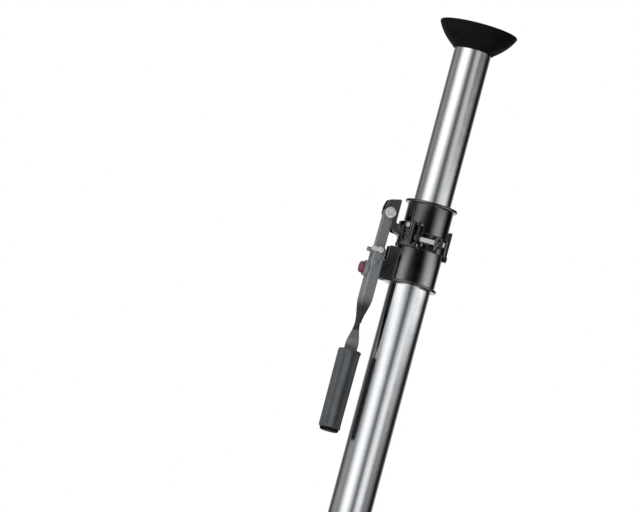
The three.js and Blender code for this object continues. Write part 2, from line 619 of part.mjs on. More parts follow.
function nutLug() {
  const outer = block(
    [SKIRT_BORE, NUT_LUG_OFFSET, NUT_LUG_BOTTOM],
    [NUT_LUG_REACH, NUT_LUG_OFFSET + NUT_LUG_THICKNESS, NUT_LUG_TOP],
  );
  const root = block(
    [INNER_TUBE_RADIUS, NUT_LUG_OFFSET, RING_BOTTOM],
    [NUT_LUG_REACH, NUT_LUG_OFFSET + NUT_LUG_THICKNESS, NUT_LUG_TOP + NUT_LUG_ROOT],
  );
  const hole = crossBar(
    PINCH_BOLT_RADIUS + FIT_GAP, PINCH_BOLT_REACH, PINCH_BOLT_HEIGHT,
    NUT_LUG_OFFSET - OVERRUN, NUT_LUG_OFFSET + NUT_LUG_THICKNESS + OVERRUN,
  );
  const clear = disc(SKIRT_BORE, NUT_LUG_BOTTOM - OVERRUN, RING_BOTTOM);
  const bore = disc(SKIRT_BORE - 2 * WORKING_GAP, RING_BOTTOM - OVERRUN, RING_TOP + OVERRUN);
  return atPinch(cut(joined(outer, root), hole, clear, bore));
}

// The hoop that bites the inner tube, with a skirt over the lower collar. It is split at the pinch
// bolt, notched over the fulcrum ears and has a keyway for the guide key.
function ringHoop() {
  const inner = COLLAR_BORE + RING_PAD_WALL + FIT_GAP;
  const hoop = ring(inner, SKIRT_RADIUS, RING_BOTTOM, RING_TOP);
  const skirt = ring(SKIRT_BORE, SKIRT_RADIUS, YOKE_BOTTOM, RING_TOP);
  const past = SKIRT_RADIUS + OVERRUN;
  const [low, high] = [YOKE_BOTTOM - OVERRUN, RING_TOP + OVERRUN];
  const slot = atPinch(block([0, -RING_SLOT / 2, low], [past, RING_SLOT / 2, high]));
  const earRoom = FULCRUM_EAR_OUTER + WORKING_GAP;
  const earNotchTop = LOWER_TOP - FULCRUM_EAR_TOP_DROP + COLLAR_TRAVEL + WORKING_GAP;
  const earNotch = block([-past, -earRoom, low], [0, earRoom, earNotchTop]);
  const keyRoom = KEY_HALF_WIDTH + WORKING_GAP;
  const keyway = block([SKIRT_BORE - WORKING_GAP, -keyRoom, low], [past, keyRoom, high]);
  return cut(joined(hoop, skirt), slot, earNotch, keyway);
}

function yokeWindow(side, height) {
  const opening = block(
    [YOKE_RADIUS - YOKE_WINDOW_DEPTH, -YOKE_WINDOW_WIDTH / 2, -YOKE_WINDOW_HEIGHT / 2],
    [YOKE_RADIUS + OVERRUN, YOKE_WINDOW_WIDTH / 2, YOKE_WINDOW_HEIGHT / 2],
  );
  return around(opening, Math.PI + side * YOKE_FEATURE_ANGLE, height);
}

// The shell round the lever's side, tall in front where it carries the swing pin.
function yokeShell() {
  const [low, high] = [YOKE_BOTTOM - OVERRUN, YOKE_TOP + OVERRUN];
  const wall = (bottom) => ring(SKIRT_BORE, YOKE_RADIUS, bottom, YOKE_TOP);
  const flank = wall(YOKE_BOTTOM).intersect(sector(YOKE_FLANK_START, YOKE_HALF_SPREAD, low, high));
  const rear = wall(YOKE_REAR_BOTTOM).intersect(sector(-YOKE_HALF_SPREAD, YOKE_HALF_SPREAD, low, high));
  const overlap = 2 * WORKING_GAP;
  const bridge = ring(SKIRT_BORE - overlap, YOKE_RADIUS - overlap / 2, YOKE_REAR_BOTTOM, RING_TOP)
    .intersect(sector(-BRIDGE_HALF_SPREAD, BRIDGE_HALF_SPREAD, low, high));
  return joined(flank, rear, bridge);
}

function ringEars() {
  const clear = disc(SKIRT_BORE, RING_EAR_ARM_BOTTOM - OVERRUN, YOKE_TOP + OVERRUN);
  const side = RING_EAR_OUTER + OVERRUN;
  const pivot = crossBar(TOP_PIN_RADIUS + FIT_GAP, FULCRUM_X, TOP_PIVOT_Z, -side, side);
  return cut(twinPlates(ringEarOutline(), EAR_INNER, RING_EAR_OUTER), clear, pivot);
}

function gripRing() {
  const upperWindow = YOKE_TOP - YOKE_WINDOW_DROP;
  const yoke = cut(
    joined(yokeShell(), ringEars()),
    yokeWindow(1, upperWindow), yokeWindow(1, upperWindow - YOKE_WINDOW_PITCH), yokeWindow(-1, upperWindow),
    ...yokeScrewPlaces().map((angle) => yokeScrewHole(angle)),
  );
  return joined(ringHoop(), yoke, swingKnuckles(), nutLug());
}

// The ring's rubber liner, split on the side away from the pinch bolt.
function ringPad() {
  const hoop = ring(COLLAR_BORE, COLLAR_BORE + RING_PAD_WALL, RING_BOTTOM, RING_TOP);
  const slot = atPinch(block(
    [-SKIRT_BORE, -RING_SLOT / 2, RING_BOTTOM - OVERRUN], [0, RING_SLOT / 2, RING_TOP + OVERRUN],
  ));
  return cut(hoop, slot);
}

function swingPin() {
  const pin = disc(
    SWING_PIN_RADIUS, YOKE_BOTTOM - SWING_PIN_PROUD, YOKE_TOP + SWING_PIN_PROUD, PIN_SIDES,
  );
  return atPinch(pin.translate([PINCH_BOLT_REACH, SWING_PIN_OFFSET, 0]));
}

function pinchBolt() {
  const low = PINCH_BOLT_HEIGHT - PINCH_EYE_HEIGHT / 2;
  const high = PINCH_BOLT_HEIGHT + PINCH_EYE_HEIGHT / 2;
  const eye = disc(PINCH_EYE_RADIUS, low, high, PIN_SIDES)
    .translate([PINCH_BOLT_REACH, SWING_PIN_OFFSET, 0]);
  const hole = disc(SWING_PIN_RADIUS + FIT_GAP, low - OVERRUN, high + OVERRUN, PIN_SIDES)
    .translate([PINCH_BOLT_REACH, SWING_PIN_OFFSET, 0]);
  const end = NUT_LUG_OFFSET + NUT_LUG_THICKNESS + FIT_GAP + PINCH_NUT_HEIGHT + PINCH_BOLT_TAIL;
  const start = SWING_PIN_OFFSET + SWING_PIN_RADIUS + WORKING_GAP;
  const shank = crossBar(PINCH_BOLT_RADIUS, PINCH_BOLT_REACH, PINCH_BOLT_HEIGHT, start, end);
  return atPinch(cut(joined(eye, shank), hole));
}

function pinchNut() {
  const start = NUT_LUG_OFFSET + NUT_LUG_THICKNESS + FIT_GAP;
  const end = start + PINCH_NUT_HEIGHT;
  const body = crossBar(PINCH_NUT_RADIUS, PINCH_BOLT_REACH, PINCH_BOLT_HEIGHT, start, end, HEX_SIDES);
  const hole = crossBar(
    PINCH_BOLT_RADIUS + FIT_GAP, PINCH_BOLT_REACH, PINCH_BOLT_HEIGHT, start - OVERRUN, end + OVERRUN,
  );
  return atPinch(cut(body, hole));
}

function fulcrumEarOutline() {
  const outline = new THREE.Shape();
  const top = LOWER_TOP - FULCRUM_EAR_TOP_DROP;
  const shoulder = FULCRUM_X + FULCRUM_EAR_SHOULDER;
  const step = FULCRUM_Z - FULCRUM_EAR_STEP;
  outline.moveTo(-OUTER_TUBE_RADIUS, top);
  outline.lineTo(shoulder, top);
  outline.lineTo(shoulder, step + FULCRUM_EAR_STEP);
  outline.lineTo(shoulder - FULCRUM_EAR_STEP, step);
  outline.lineTo(FULCRUM_X + FULCRUM_BOSS_RADIUS, step);
  outline.absarc(FULCRUM_X, FULCRUM_Z, FULCRUM_BOSS_RADIUS, 0, FULCRUM_BOSS_SWEEP, false);
  outline.lineTo(FULCRUM_X + FULCRUM_EAR_HEEL, FULCRUM_Z - FULCRUM_EAR_THROAT);
  outline.lineTo(FULCRUM_X + FULCRUM_EAR_HEEL, LOWER_BOTTOM + FULCRUM_EAR_STEP);
  outline.lineTo(FULCRUM_X + FULCRUM_EAR_HEEL + FULCRUM_EAR_STEP, LOWER_BOTTOM);
  outline.lineTo(-OUTER_TUBE_RADIUS, LOWER_BOTTOM);
  return outline;
}

function lowerCollar() {
  const bore = OUTER_TUBE_RADIUS + FIT_GAP;
  const body = spun([
    [bore, LOWER_BOTTOM], [FLANGE_RADIUS, LOWER_BOTTOM], [FLANGE_RADIUS, LOWER_BOTTOM + FLANGE_HEIGHT],
    [LOWER_COLLAR_RADIUS, LOWER_BOTTOM + FLANGE_HEIGHT], [LOWER_COLLAR_RADIUS, LOWER_TOP], [bore, LOWER_TOP],
  ]);
  const ears = twinPlates(fulcrumEarOutline(), EAR_INNER, FULCRUM_EAR_OUTER);
  const blockTop = LOWER_TOP - FULCRUM_EAR_TOP_DROP - EAR_BLOCK_TOP_DROP;
  const bridge = block(
    [EAR_BLOCK_FACE, -EAR_INNER - FIT_GAP, LOWER_BOTTOM], [-OUTER_TUBE_RADIUS, EAR_INNER + FIT_GAP, blockTop],
  );
  const tubeRoom = disc(bore, LOWER_BOTTOM - OVERRUN, LOWER_TOP + OVERRUN);
  const side = FULCRUM_EAR_OUTER + OVERRUN;
  const pivot = crossBar(FULCRUM_PIN_RADIUS + FIT_GAP, FULCRUM_X, FULCRUM_Z, -side, side);
  const legEnd = EAR_BLOCK_FACE + CATCH_TAIL + FIT_GAP;
  const legHole = alongX(disc(CATCH_WIRE_RADIUS + FIT_GAP, EAR_BLOCK_FACE - OVERRUN, legEnd, SMALL_SIDES))
    .translate([0, 0, FULCRUM_Z - CATCH_DROP]);
  const legHoles = [-1, 1].map((turn) => legHole.translate([0, turn * catchLegOffset(), 0]));
  const screwHoles = COLLAR_SCREW_ANGLES.map((angle) => around(
    alongX(disc(SCREW_RADIUS + FIT_GAP, OUTER_TUBE_RADIUS, FLANGE_RADIUS, SMALL_SIDES)),
    angle, LOWER_BOTTOM + COLLAR_SCREW_LIFT,
  ));
  const keyHole = alongX(disc(SCREW_RADIUS + FIT_GAP, OUTER_TUBE_RADIUS, FLANGE_RADIUS, SMALL_SIDES))
    .translate([0, 0, keyScrewHeight()]);
  return cut(joined(body, cut(joined(ears, bridge), tubeRoom)), pivot, ...legHoles, ...screwHoles, keyHole);
}

const catchLegOffset = () => EAR_INNER - FIT_GAP - CATCH_WIRE_RADIUS;
const keyScrewHeight = () => (LOWER_TOP + KEY_BOTTOM) / 2;

function guideBush() {
  return ring(COLLAR_BORE, OUTER_TUBE_RADIUS, GUIDE_BUSH_BOTTOM, LOWER_TOP);
}

function guideKey() {
  const inner = SKIRT_BORE;
  const outline = outlineOf([
    [inner, KEY_BOTTOM], [KEY_OUTER - KEY_CHAMFER, KEY_BOTTOM], [KEY_OUTER, KEY_BOTTOM + KEY_CHAMFER],
    [KEY_OUTER, KEY_TOP - KEY_CHAMFER], [KEY_OUTER - KEY_CHAMFER, KEY_TOP], [inner, KEY_TOP],
  ]);
  const hole = alongX(disc(SCREW_RADIUS + FIT_GAP, inner - OVERRUN, KEY_OUTER + OVERRUN, SMALL_SIDES))
    .translate([0, 0, keyScrewHeight()]);
  return cut(plate(outline, -KEY_HALF_WIDTH, KEY_HALF_WIDTH), hole);
}

// A screw along +X whose head seats at the given distance from the pole's axis.
function radialScrew(seat) {
  const tip = OUTER_TUBE_RADIUS + FIT_GAP;
  return alongX(joined(
    disc(SCREW_RADIUS, tip, seat + SCREW_HEAD_HEIGHT, SMALL_SIDES),
    disc(SCREW_HEAD_RADIUS, seat + FIT_GAP, seat + FIT_GAP + SCREW_HEAD_HEIGHT, PIN_SIDES),
  ));
}

// A round wire along a path.
function wire(path, radius, steps, sides) {
  const corners = Array.from({ length: sides }, (_, i) => (i / sides) * 2 * Math.PI);
  const section = outlineOf(corners.map((angle) => [radius * Math.cos(angle), radius * Math.sin(angle)]));
  return solid(new THREE.ExtrudeGeometry(section, { steps, extrudePath: path, bevelEnabled: false }));
}

// A staple whose cross wire the pawl hooks, with two legs that run into the ear block.
function catchSpring() {
  const x = FULCRUM_X + CATCH_X;
  const z = FULCRUM_Z - CATCH_DROP;
  const y = catchLegOffset();
  const end = EAR_BLOCK_FACE + CATCH_TAIL;
  const path = new THREE.CurvePath();
  const bend = (sideways) => [
    new THREE.Vector3(x + CATCH_BEND, sideways * y, z),
    new THREE.Vector3(x, sideways * y, z),
    new THREE.Vector3(x, sideways * (y - CATCH_BEND), z),
  ];
  const [frontStart, frontCorner, frontEnd] = bend(-1);
  const [backStart, backCorner, backEnd] = bend(1);
  path.add(new THREE.LineCurve3(new THREE.Vector3(end, -y, z), frontStart));
  path.add(new THREE.QuadraticBezierCurve3(frontStart, frontCorner, frontEnd));
  path.add(new THREE.LineCurve3(frontEnd, backEnd));
  path.add(new THREE.QuadraticBezierCurve3(backEnd, backCorner, backStart));
  path.add(new THREE.LineCurve3(backStart, new THREE.Vector3(end, y, z)));
  return wire(path, CATCH_WIRE_RADIUS, STAPLE_STEPS, WIRE_SIDES);
}

// Pins, drawn about their own axis along Y
function headedPin(radius, headRadius, headHeight, headFace, end) {
  return joined(
    crossBar(radius, 0, 0, -headFace - headHeight / 2, end),
    crossBar(headRadius, 0, 0, -headFace - headHeight, -headFace),
  );
}

function topPin() {
  const face = RING_EAR_OUTER + FIT_GAP;
  return headedPin(
    TOP_PIN_RADIUS, TOP_PIN_HEAD_RADIUS, TOP_PIN_HEAD_HEIGHT, face, face + CLIP_HEIGHT + TOP_PIN_TAIL,
  );
}

function topClip() {
  const start = RING_EAR_OUTER + FIT_GAP;
  const body = crossBar(CLIP_RADIUS, 0, 0, start, start + CLIP_HEIGHT);
  const hole = crossBar(TOP_PIN_RADIUS + FIT_GAP, 0, 0, start - OVERRUN, start + CLIP_HEIGHT + OVERRUN);
  const end = start + CLIP_HEIGHT;
  const mouth = block(
    [-CLIP_MOUTH / 2, start - OVERRUN, 0], [CLIP_MOUTH / 2, end + OVERRUN, CLIP_RADIUS + OVERRUN],
  );
  return cut(body, hole, mouth);
}

function fulcrumPin(side) {
  const face = CHEEK_OUTER + FIT_GAP;
  const [shankFrom, shankTo] = [EAR_INNER, face + FULCRUM_HEAD_HEIGHT / 2].map((y) => side * y);
  const [headFrom, headTo] = [face, face + FULCRUM_HEAD_HEIGHT].map((y) => side * y);
  return joined(
    crossBar(FULCRUM_PIN_RADIUS, 0, 0, Math.min(shankFrom, shankTo), Math.max(shankFrom, shankTo)),
    crossBar(FULCRUM_HEAD_RADIUS, 0, 0, Math.min(headFrom, headTo), Math.max(headFrom, headTo)),
  );
}

function togglePin() {
  const face = CHEEK_OUTER + FIT_GAP + KEEPER_THICKNESS + FIT_GAP;
  const head = (from, to) => crossBar(TOGGLE_HEAD_RADIUS, 0, 0, from, to);
  return joined(
    crossBar(TOGGLE_PIN_RADIUS, 0, 0, -face - TOGGLE_HEAD_HEIGHT / 2, face + TOGGLE_HEAD_HEIGHT / 2),
    head(-face - TOGGLE_HEAD_HEIGHT, -face), head(face, face + TOGGLE_HEAD_HEIGHT),
  );
}

function pawlPin() {
  const face = CHEEK_OUTER + FIT_GAP;
  const head = (from, to) => crossBar(PAWL_PIN_HEAD_RADIUS, 0, 0, from, to);
  return joined(
    crossBar(PAWL_PIN_RADIUS, 0, 0, -face - PAWL_PIN_HEAD_HEIGHT / 2, face + PAWL_PIN_HEAD_HEIGHT / 2),
    head(-face - PAWL_PIN_HEAD_HEIGHT, -face), head(face, face + PAWL_PIN_HEAD_HEIGHT),
  );
}

// Link, drawn about its top pivot and hanging down
function linkArm() {
  const outline = new THREE.Shape();
  outline.absarc(0, 0, LINK_HALF_DEPTH, 0, Math.PI, false);
  outline.absarc(0, -LINK_LENGTH, LINK_HALF_DEPTH, Math.PI, 2 * Math.PI, false);
  const topHole = new THREE.Path();
  topHole.absarc(0, 0, TOP_PIN_RADIUS + FIT_GAP, 0, 2 * Math.PI, true);
  const lowerEye = new THREE.Path();
  lowerEye.absarc(0, -LINK_LENGTH, TOGGLE_PIN_RADIUS + FIT_GAP + TOGGLE_PLAY, 0, 2 * Math.PI, true);
  outline.holes.push(topHole, lowerEye);
  return plate(outline, -LINK_HALF_WIDTH, LINK_HALF_WIDTH);
}

// Lever, drawn about the fulcrum
function channelSection(height, share) {
  const eased = share * share * (3 - 2 * share);
  const mix = (from, to) => THREE.MathUtils.lerp(from, to, eased);
  const outer = mix(-WEB_REACH, TANG_X - TANG_THICKNESS / 2);
  const web = mix(WEB_INNER, TANG_X + TANG_THICKNESS / 2);
  const edge = mix(CHEEK_REACH, TANG_X + TANG_THICKNESS / 2 + NECK_LIP);
  const half = mix(CHEEK_OUTER, TANG_WIDTH / 2);
  const inner = half - CHEEK_THICKNESS;
  return [
    [outer, -half], [edge, -half], [edge, -inner], [web, -inner],
    [web, inner], [edge, inner], [edge, half], [outer, half],
  ].map(([x, y]) => new THREE.Vector3(x, y, height));
}

function channel() {
  const rings = [channelSection(CHEEK_TOP, 0)];
  for (let step = 0; step <= CHANNEL_STEPS; step += 1) {
    const share = step / CHANNEL_STEPS;
    rings.push(channelSection(THREE.MathUtils.lerp(CHANNEL_END, NECK_HEIGHT, share), share));
  }
  return loft(rings);
}

// The flat bar turns a quarter below the neck and runs on into the hand grip.
function tang() {
  const bar = (height, turn) => [[-1, -1], [1, -1], [1, 1], [-1, 1]].map(([u, v]) => {
    const corner = new THREE.Vector2(u * TANG_THICKNESS / 2, v * TANG_WIDTH / 2);
    corner.rotateAround(new THREE.Vector2(), turn);
    return new THREE.Vector3(TANG_X + corner.x, corner.y, height);
  });
  const rings = [bar(NECK_HEIGHT + NECK_LIP, 0)];
  for (let step = 0; step <= TWIST_STEPS; step += 1) {
    const share = step / TWIST_STEPS;
    rings.push(bar(NECK_HEIGHT - NECK_LIP - TWIST_LENGTH * share, (Math.PI / 2) * share));
  }
  rings.push(bar(TANG_END, Math.PI / 2));
  return loft(rings);
}

function leverArm() {
  const side = CHEEK_OUTER + OVERRUN;
  const through = (radius, x, z) => crossBar(radius + FIT_GAP, x, z, -side, side);
  const webMouth = block(
    [-WEB_REACH - OVERRUN, -CHEEK_INNER, WEB_TOP], [0, CHEEK_INNER, CHEEK_TOP + OVERRUN],
  );
  const corner = plate(outlineOf([
    [CHEEK_REACH - CHEEK_CORNER, CHEEK_TOP], [CHEEK_REACH, CHEEK_TOP - CHEEK_CORNER],
    [CHEEK_REACH + OVERRUN, CHEEK_TOP - CHEEK_CORNER], [CHEEK_REACH + OVERRUN, CHEEK_TOP + OVERRUN],
    [CHEEK_REACH - CHEEK_CORNER, CHEEK_TOP + OVERRUN],
  ]), -side, side);
  const stemHole = alongX(disc(STEM_RADIUS + FIT_GAP, -WEB_REACH - OVERRUN, 0, PIN_SIDES))
    .translate([0, 0, -BUTTON_DROP]);
  return cut(
    joined(channel(), tang()), webMouth, corner, stemHole,
    through(FULCRUM_PIN_RADIUS, 0, 0), through(TOGGLE_PIN_RADIUS, CRANK_X, CRANK_Z),
    through(PAWL_PIN_RADIUS, PAWL_X, -PAWL_DROP),
  );
}

function pinKeeper(side) {
  const outline = outlineOf([
    [KEEPER_OUTER, CRANK_Z - KEEPER_HEIGHT / 2], [KEEPER_INNER, CRANK_Z - KEEPER_HEIGHT / 2],
    [KEEPER_INNER, CRANK_Z + KEEPER_HEIGHT / 2], [KEEPER_OUTER, CRANK_Z + KEEPER_HEIGHT / 2],
  ]);
  const near = CHEEK_OUTER + FIT_GAP;
  const far = near + KEEPER_THICKNESS;
  const body = side > 0 ? plate(outline, near, far) : plate(outline, -far, -near);
  const hole = crossBar(TOGGLE_PIN_RADIUS + FIT_GAP, CRANK_X, CRANK_Z, -far - OVERRUN, far + OVERRUN);
  return cut(body, hole);
}

function handGrip() {
  const body = spun([
    [0, GRIP_BOTTOM], [GRIP_BOTTOM_RADIUS, GRIP_BOTTOM],
    [GRIP_TOP_RADIUS, GRIP_TOP - GRIP_EDGE_ROUND], [GRIP_TOP_RADIUS - GRIP_EDGE_ROUND, GRIP_TOP],
    [0, GRIP_TOP],
  ], TUBE_SIDES);
  const pocket = block(
    [-TANG_WIDTH / 2 - FIT_GAP, -TANG_THICKNESS / 2 - FIT_GAP, TANG_END - FIT_GAP],
    [TANG_WIDTH / 2 + FIT_GAP, TANG_THICKNESS / 2 + FIT_GAP, GRIP_TOP + OVERRUN],
  );
  return cut(body, pocket);
}

function gripEndCap() {
  const top = GRIP_BOTTOM - FIT_GAP;
  return spun([
    [0, top - END_CAP_HEIGHT], [END_CAP_RADIUS - END_CAP_HEIGHT, top - END_CAP_HEIGHT],
    [END_CAP_RADIUS, top], [0, top],
  ], TUBE_SIDES);
}

// Latch pieces, drawn along the button's axis with +X pointing into the lever
function releaseButton() {
  const face = -BUTTON_REACH;
  const boreFloor = face + BUTTON_BORE_DEPTH;
  const skirt = -WEB_REACH - FIT_GAP - BEZEL_FLOOR - WORKING_GAP - BUTTON_TRAVEL;
  const stemEnd = WEB_INNER + WEB_THICKNESS / 2;
  return alongX(spun([
    [0, face], [BUTTON_RADIUS - BUTTON_ROUND, face], [BUTTON_RADIUS, face + BUTTON_ROUND],
    [BUTTON_RADIUS, skirt], [BUTTON_BORE_RADIUS, skirt], [BUTTON_BORE_RADIUS, boreFloor],
    [STEM_RADIUS, boreFloor], [STEM_RADIUS, stemEnd], [0, stemEnd],
  ], TUBE_SIDES));
}

function buttonBezel() {
  const back = -WEB_REACH - FIT_GAP;
  return alongX(spun([
    [STEM_RADIUS + FIT_GAP, back], [BEZEL_RADIUS, back], [BEZEL_RADIUS, back - BEZEL_HEIGHT],
    [BUTTON_RADIUS + FIT_GAP, back - BEZEL_HEIGHT], [BUTTON_RADIUS + FIT_GAP, back - BEZEL_FLOOR],
    [STEM_RADIUS + FIT_GAP, back - BEZEL_FLOOR],
  ], TUBE_SIDES));
}

// A coil round the stem: straight ends, then whole curls between them.
function buttonSpring() {
  const start = -BUTTON_REACH + BUTTON_BORE_DEPTH + FIT_GAP;
  const end = -WEB_REACH - FIT_GAP - BEZEL_FLOOR - FIT_GAP;
  const lead = 2 * SPRING_WIRE_RADIUS;
  const steps = CURL_STEPS * SPRING_CURLS;
  const points = [];
  for (let step = 0; step <= steps; step += 1) {
    const angle = (step / steps) * SPRING_CURLS * 2 * Math.PI;
    const along = THREE.MathUtils.lerp(start + lead, end - lead, step / steps);
    points.push(new THREE.Vector3(along, SPRING_RADIUS * Math.cos(angle), SPRING_RADIUS * Math.sin(angle)));
  }
  const first = points[0].clone().setX(start);
  const last = points[points.length - 1].clone().setX(end);
  console.log(`button spring, least gap between curls: ${leastGap(points).toFixed(2)} mm`);
  return wireThrough([first, ...points, last], SPRING_WIRE_RADIUS, SPRING_SIDES);
}

// The least clear distance between points of the coil that are half a curl or more apart.
function leastGap(points) {
  let least = Infinity;
  points.forEach((point, index) => {
    for (const other of points.slice(index + CURL_STEPS / 2)) {
      least = Math.min(least, point.distanceTo(other) - 2 * SPRING_WIRE_RADIUS);
    }
  });
  return least;
}

// A tube with one ring of points at each given place, square to the way on.
function wireThrough(places, radius, sides) {
  const rings = [];
  places.forEach((place, index) => {
    const before = places[Math.max(index - 1, 0)];
    const after = places[Math.min(index + 1, places.length - 1)];
    const along = after.clone().sub(before).normalize();
    const out = place.clone().setX(0).normalize();
    const side = along.clone().cross(out).normalize();
    const up = side.clone().cross(along);
    const ringOf = [];
    for (let i = 0; i < sides; i += 1) {
      const angle = (i / sides) * 2 * Math.PI;
      ringOf.push(place.clone()
        .addScaledVector(up, radius * Math.cos(angle))
        .addScaledVector(side, radius * Math.sin(angle)));
    }
    rings.push(ringOf);
  });
  const faces = [];
  for (let r = 0; r < rings.length - 1; r += 1) {
    for (let i = 0; i < sides; i += 1) {
      const [a, b] = [r * sides + i, r * sides + (i + 1) % sides];
      faces.push(a, b, b + sides, a, b + sides, a + sides);
    }
  }
  const lastStart = (rings.length - 1) * sides;
  for (let i = 1; i < sides - 1; i += 1) {
    faces.push(0, i + 1, i, lastStart, lastStart + i, lastStart + i + 1);
  }
  const geometry = new THREE.BufferGeometry().setFromPoints(rings.flat());
  geometry.setIndex(faces);
  return solid(geometry);
}

// The pawl turns on its pin: the button pushes its tail, and its hook lifts off the catch.
function latchPawl() {
  const tailOuter = WEB_INNER + WEB_THICKNESS / 2 + FIT_GAP - PAWL_X;
  const tailInner = tailOuter + PAWL_TAIL_THICKNESS;
  const catchX = CATCH_X - PAWL_X;
  const catchZ = PAWL_DROP - CATCH_DROP;
  const armBottom = catchZ + CATCH_WIRE_RADIUS + FIT_GAP;
  const hookInner = catchX + CATCH_WIRE_RADIUS + FIT_GAP;
  const outline = new THREE.Shape();
  outline.moveTo(tailOuter, -PAWL_TAIL_LENGTH);
  outline.lineTo(tailInner, -PAWL_TAIL_LENGTH);
  outline.lineTo(tailInner, -PAWL_HUB_RADIUS);
  outline.lineTo(tailInner + PAWL_TAIL_THICKNESS, armBottom);
  outline.lineTo(hookInner, armBottom);
  outline.lineTo(hookInner, armBottom - PAWL_HOOK_DEPTH);
  outline.lineTo(hookInner + PAWL_HOOK_WIDTH, armBottom - PAWL_HOOK_DEPTH);
  outline.lineTo(hookInner + PAWL_HOOK_WIDTH, armBottom + PAWL_ARM_THICKNESS);
  outline.lineTo(PAWL_HUB_RADIUS, armBottom + PAWL_ARM_THICKNESS);
  outline.absarc(0, 0, PAWL_HUB_RADIUS, PAWL_HUB_START, Math.PI, false);
  outline.lineTo(tailOuter, -PAWL_HUB_RADIUS);
  const side = PAWL_HALF_WIDTH + OVERRUN;
  const hole = crossBar(PAWL_PIN_RADIUS + FIT_GAP, 0, 0, -side, side);
  return cut(plate(outline, -PAWL_HALF_WIDTH, PAWL_HALF_WIDTH), hole);
}

// Assembly
const placed = (group, x, z) => {
  group.position.set(x, 0, z);
  return group;
};

function collarStack() {
  const stack = new THREE.Group();
  stack.position.z = COLLAR_TOP;
  stack.add(
    piece('upper_collar', upperCollar(), BLACK_PAINT),
    piece('collar_bush', collarBush(), WHITE_NYLON),
    piece('grip_ring', gripRing(), BLACK_PAINT),
    piece('ring_pad', ringPad(), BLACK_RUBBER),
    piece('swing_pin', swingPin(), DARK_STEEL),
    piece('pinch_bolt', pinchBolt(), ZINC),
    piece('pinch_nut', pinchNut(), DARK_STEEL),
    piece('lower_collar', lowerCollar(), BLACK_PAINT),
    piece('guide_bush', guideBush(), WHITE_NYLON),
    piece('guide_key', guideKey(), BLACK_PLASTIC),
    piece('catch_spring', catchSpring(), SPRING_STEEL),
  );
  ['front', 'back'].forEach((side, index) => {
    const screw = piece(`yoke_screw_${side}`, yokeScrew(), ZINC);
    screw.rotation.z = yokeScrewPlaces()[index];
    screw.position.z = YOKE_SCREW_HEIGHT;
    stack.add(screw);
  });
  ['right', 'left'].forEach((side, index) => {
    const screw = piece(`collar_screw_${side}`, radialScrew(LOWER_COLLAR_RADIUS), DARK_STEEL);
    screw.rotation.z = COLLAR_SCREW_ANGLES[index];
    screw.position.z = LOWER_BOTTOM + COLLAR_SCREW_LIFT;
    stack.add(screw);
  });
  stack.add(placed(piece('key_screw', radialScrew(KEY_OUTER), DARK_STEEL), 0, keyScrewHeight()));
  return stack;
}

function toggleLink() {
  const link = placed(new THREE.Group(), FULCRUM_X, COLLAR_TOP + TOP_PIVOT_Z);
  const arm = piece('link_arm', linkArm(), GREY_PAINT);
  arm.rotation.y = LINK_TILT;
  link.add(arm, piece('top_pin', topPin(), ZINC), piece('top_clip', topClip(), ZINC));
  return link;
}

function lever() {
  const group = placed(new THREE.Group(), FULCRUM_X, COLLAR_TOP + FULCRUM_Z);
  group.add(
    piece('lever_arm', leverArm(), GREY_PAINT),
    piece('pin_keeper_front', pinKeeper(-1), ZINC),
    piece('pin_keeper_back', pinKeeper(1), ZINC),
    piece('fulcrum_pin_front', fulcrumPin(-1), GREY_PAINT),
    piece('fulcrum_pin_back', fulcrumPin(1), GREY_PAINT),
    placed(piece('toggle_pin', togglePin(), ZINC), CRANK_X, CRANK_Z),
    placed(piece('hand_grip', handGrip(), GREY_RUBBER), TANG_X, 0),
    placed(piece('grip_end_cap', gripEndCap(), BLACK_RUBBER), TANG_X, 0),
    placed(piece('pawl_pin', pawlPin(), GREY_PAINT), PAWL_X, -PAWL_DROP),
    placed(piece('latch_pawl', latchPawl(), SPRING_STEEL), PAWL_X, -PAWL_DROP),
    placed(piece('release_button', releaseButton(), RED_PLASTIC), 0, -BUTTON_DROP),
    placed(piece('button_bezel', buttonBezel(), GREY_PAINT), 0, -BUTTON_DROP),
    placed(piece('button_spring', buttonSpring(), SPRING_STEEL), 0, -BUTTON_DROP),
  );
  return group;
}

function tensionPole() {
  const pole = new THREE.Group();
  const foot = endFittings('foot', OUTER_TUBE_RADIUS, OUTER_TUBE_BORE);
  const head = endFittings('head', INNER_TUBE_RADIUS, INNER_TUBE_BORE);
  head.rotation.x = Math.PI;
  head.position.z = CLOSED_LENGTH;
  pole.add(
    foot, head,
    piece('outer_tube', outerTube(), ANODISED),
    piece('inner_tube', innerTube(), ANODISED),
    piece('inner_bush', innerBush(), WHITE_NYLON),
    collarStack(), toggleLink(), lever(),
  );
  return pole;
}

export default tensionPole();
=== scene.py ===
"""The looks of a floor to ceiling tension pole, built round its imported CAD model.

Sizes are in millimetres in the model's frame: Z runs up the pole from the floor, the lever hangs
on the -X side and -Y is the front.
"""
import logging
import math
from dataclasses import dataclass
from enum import Enum
from typing import Iterable, Sequence

import bmesh
import bpy
from mathutils import Matrix, Vector


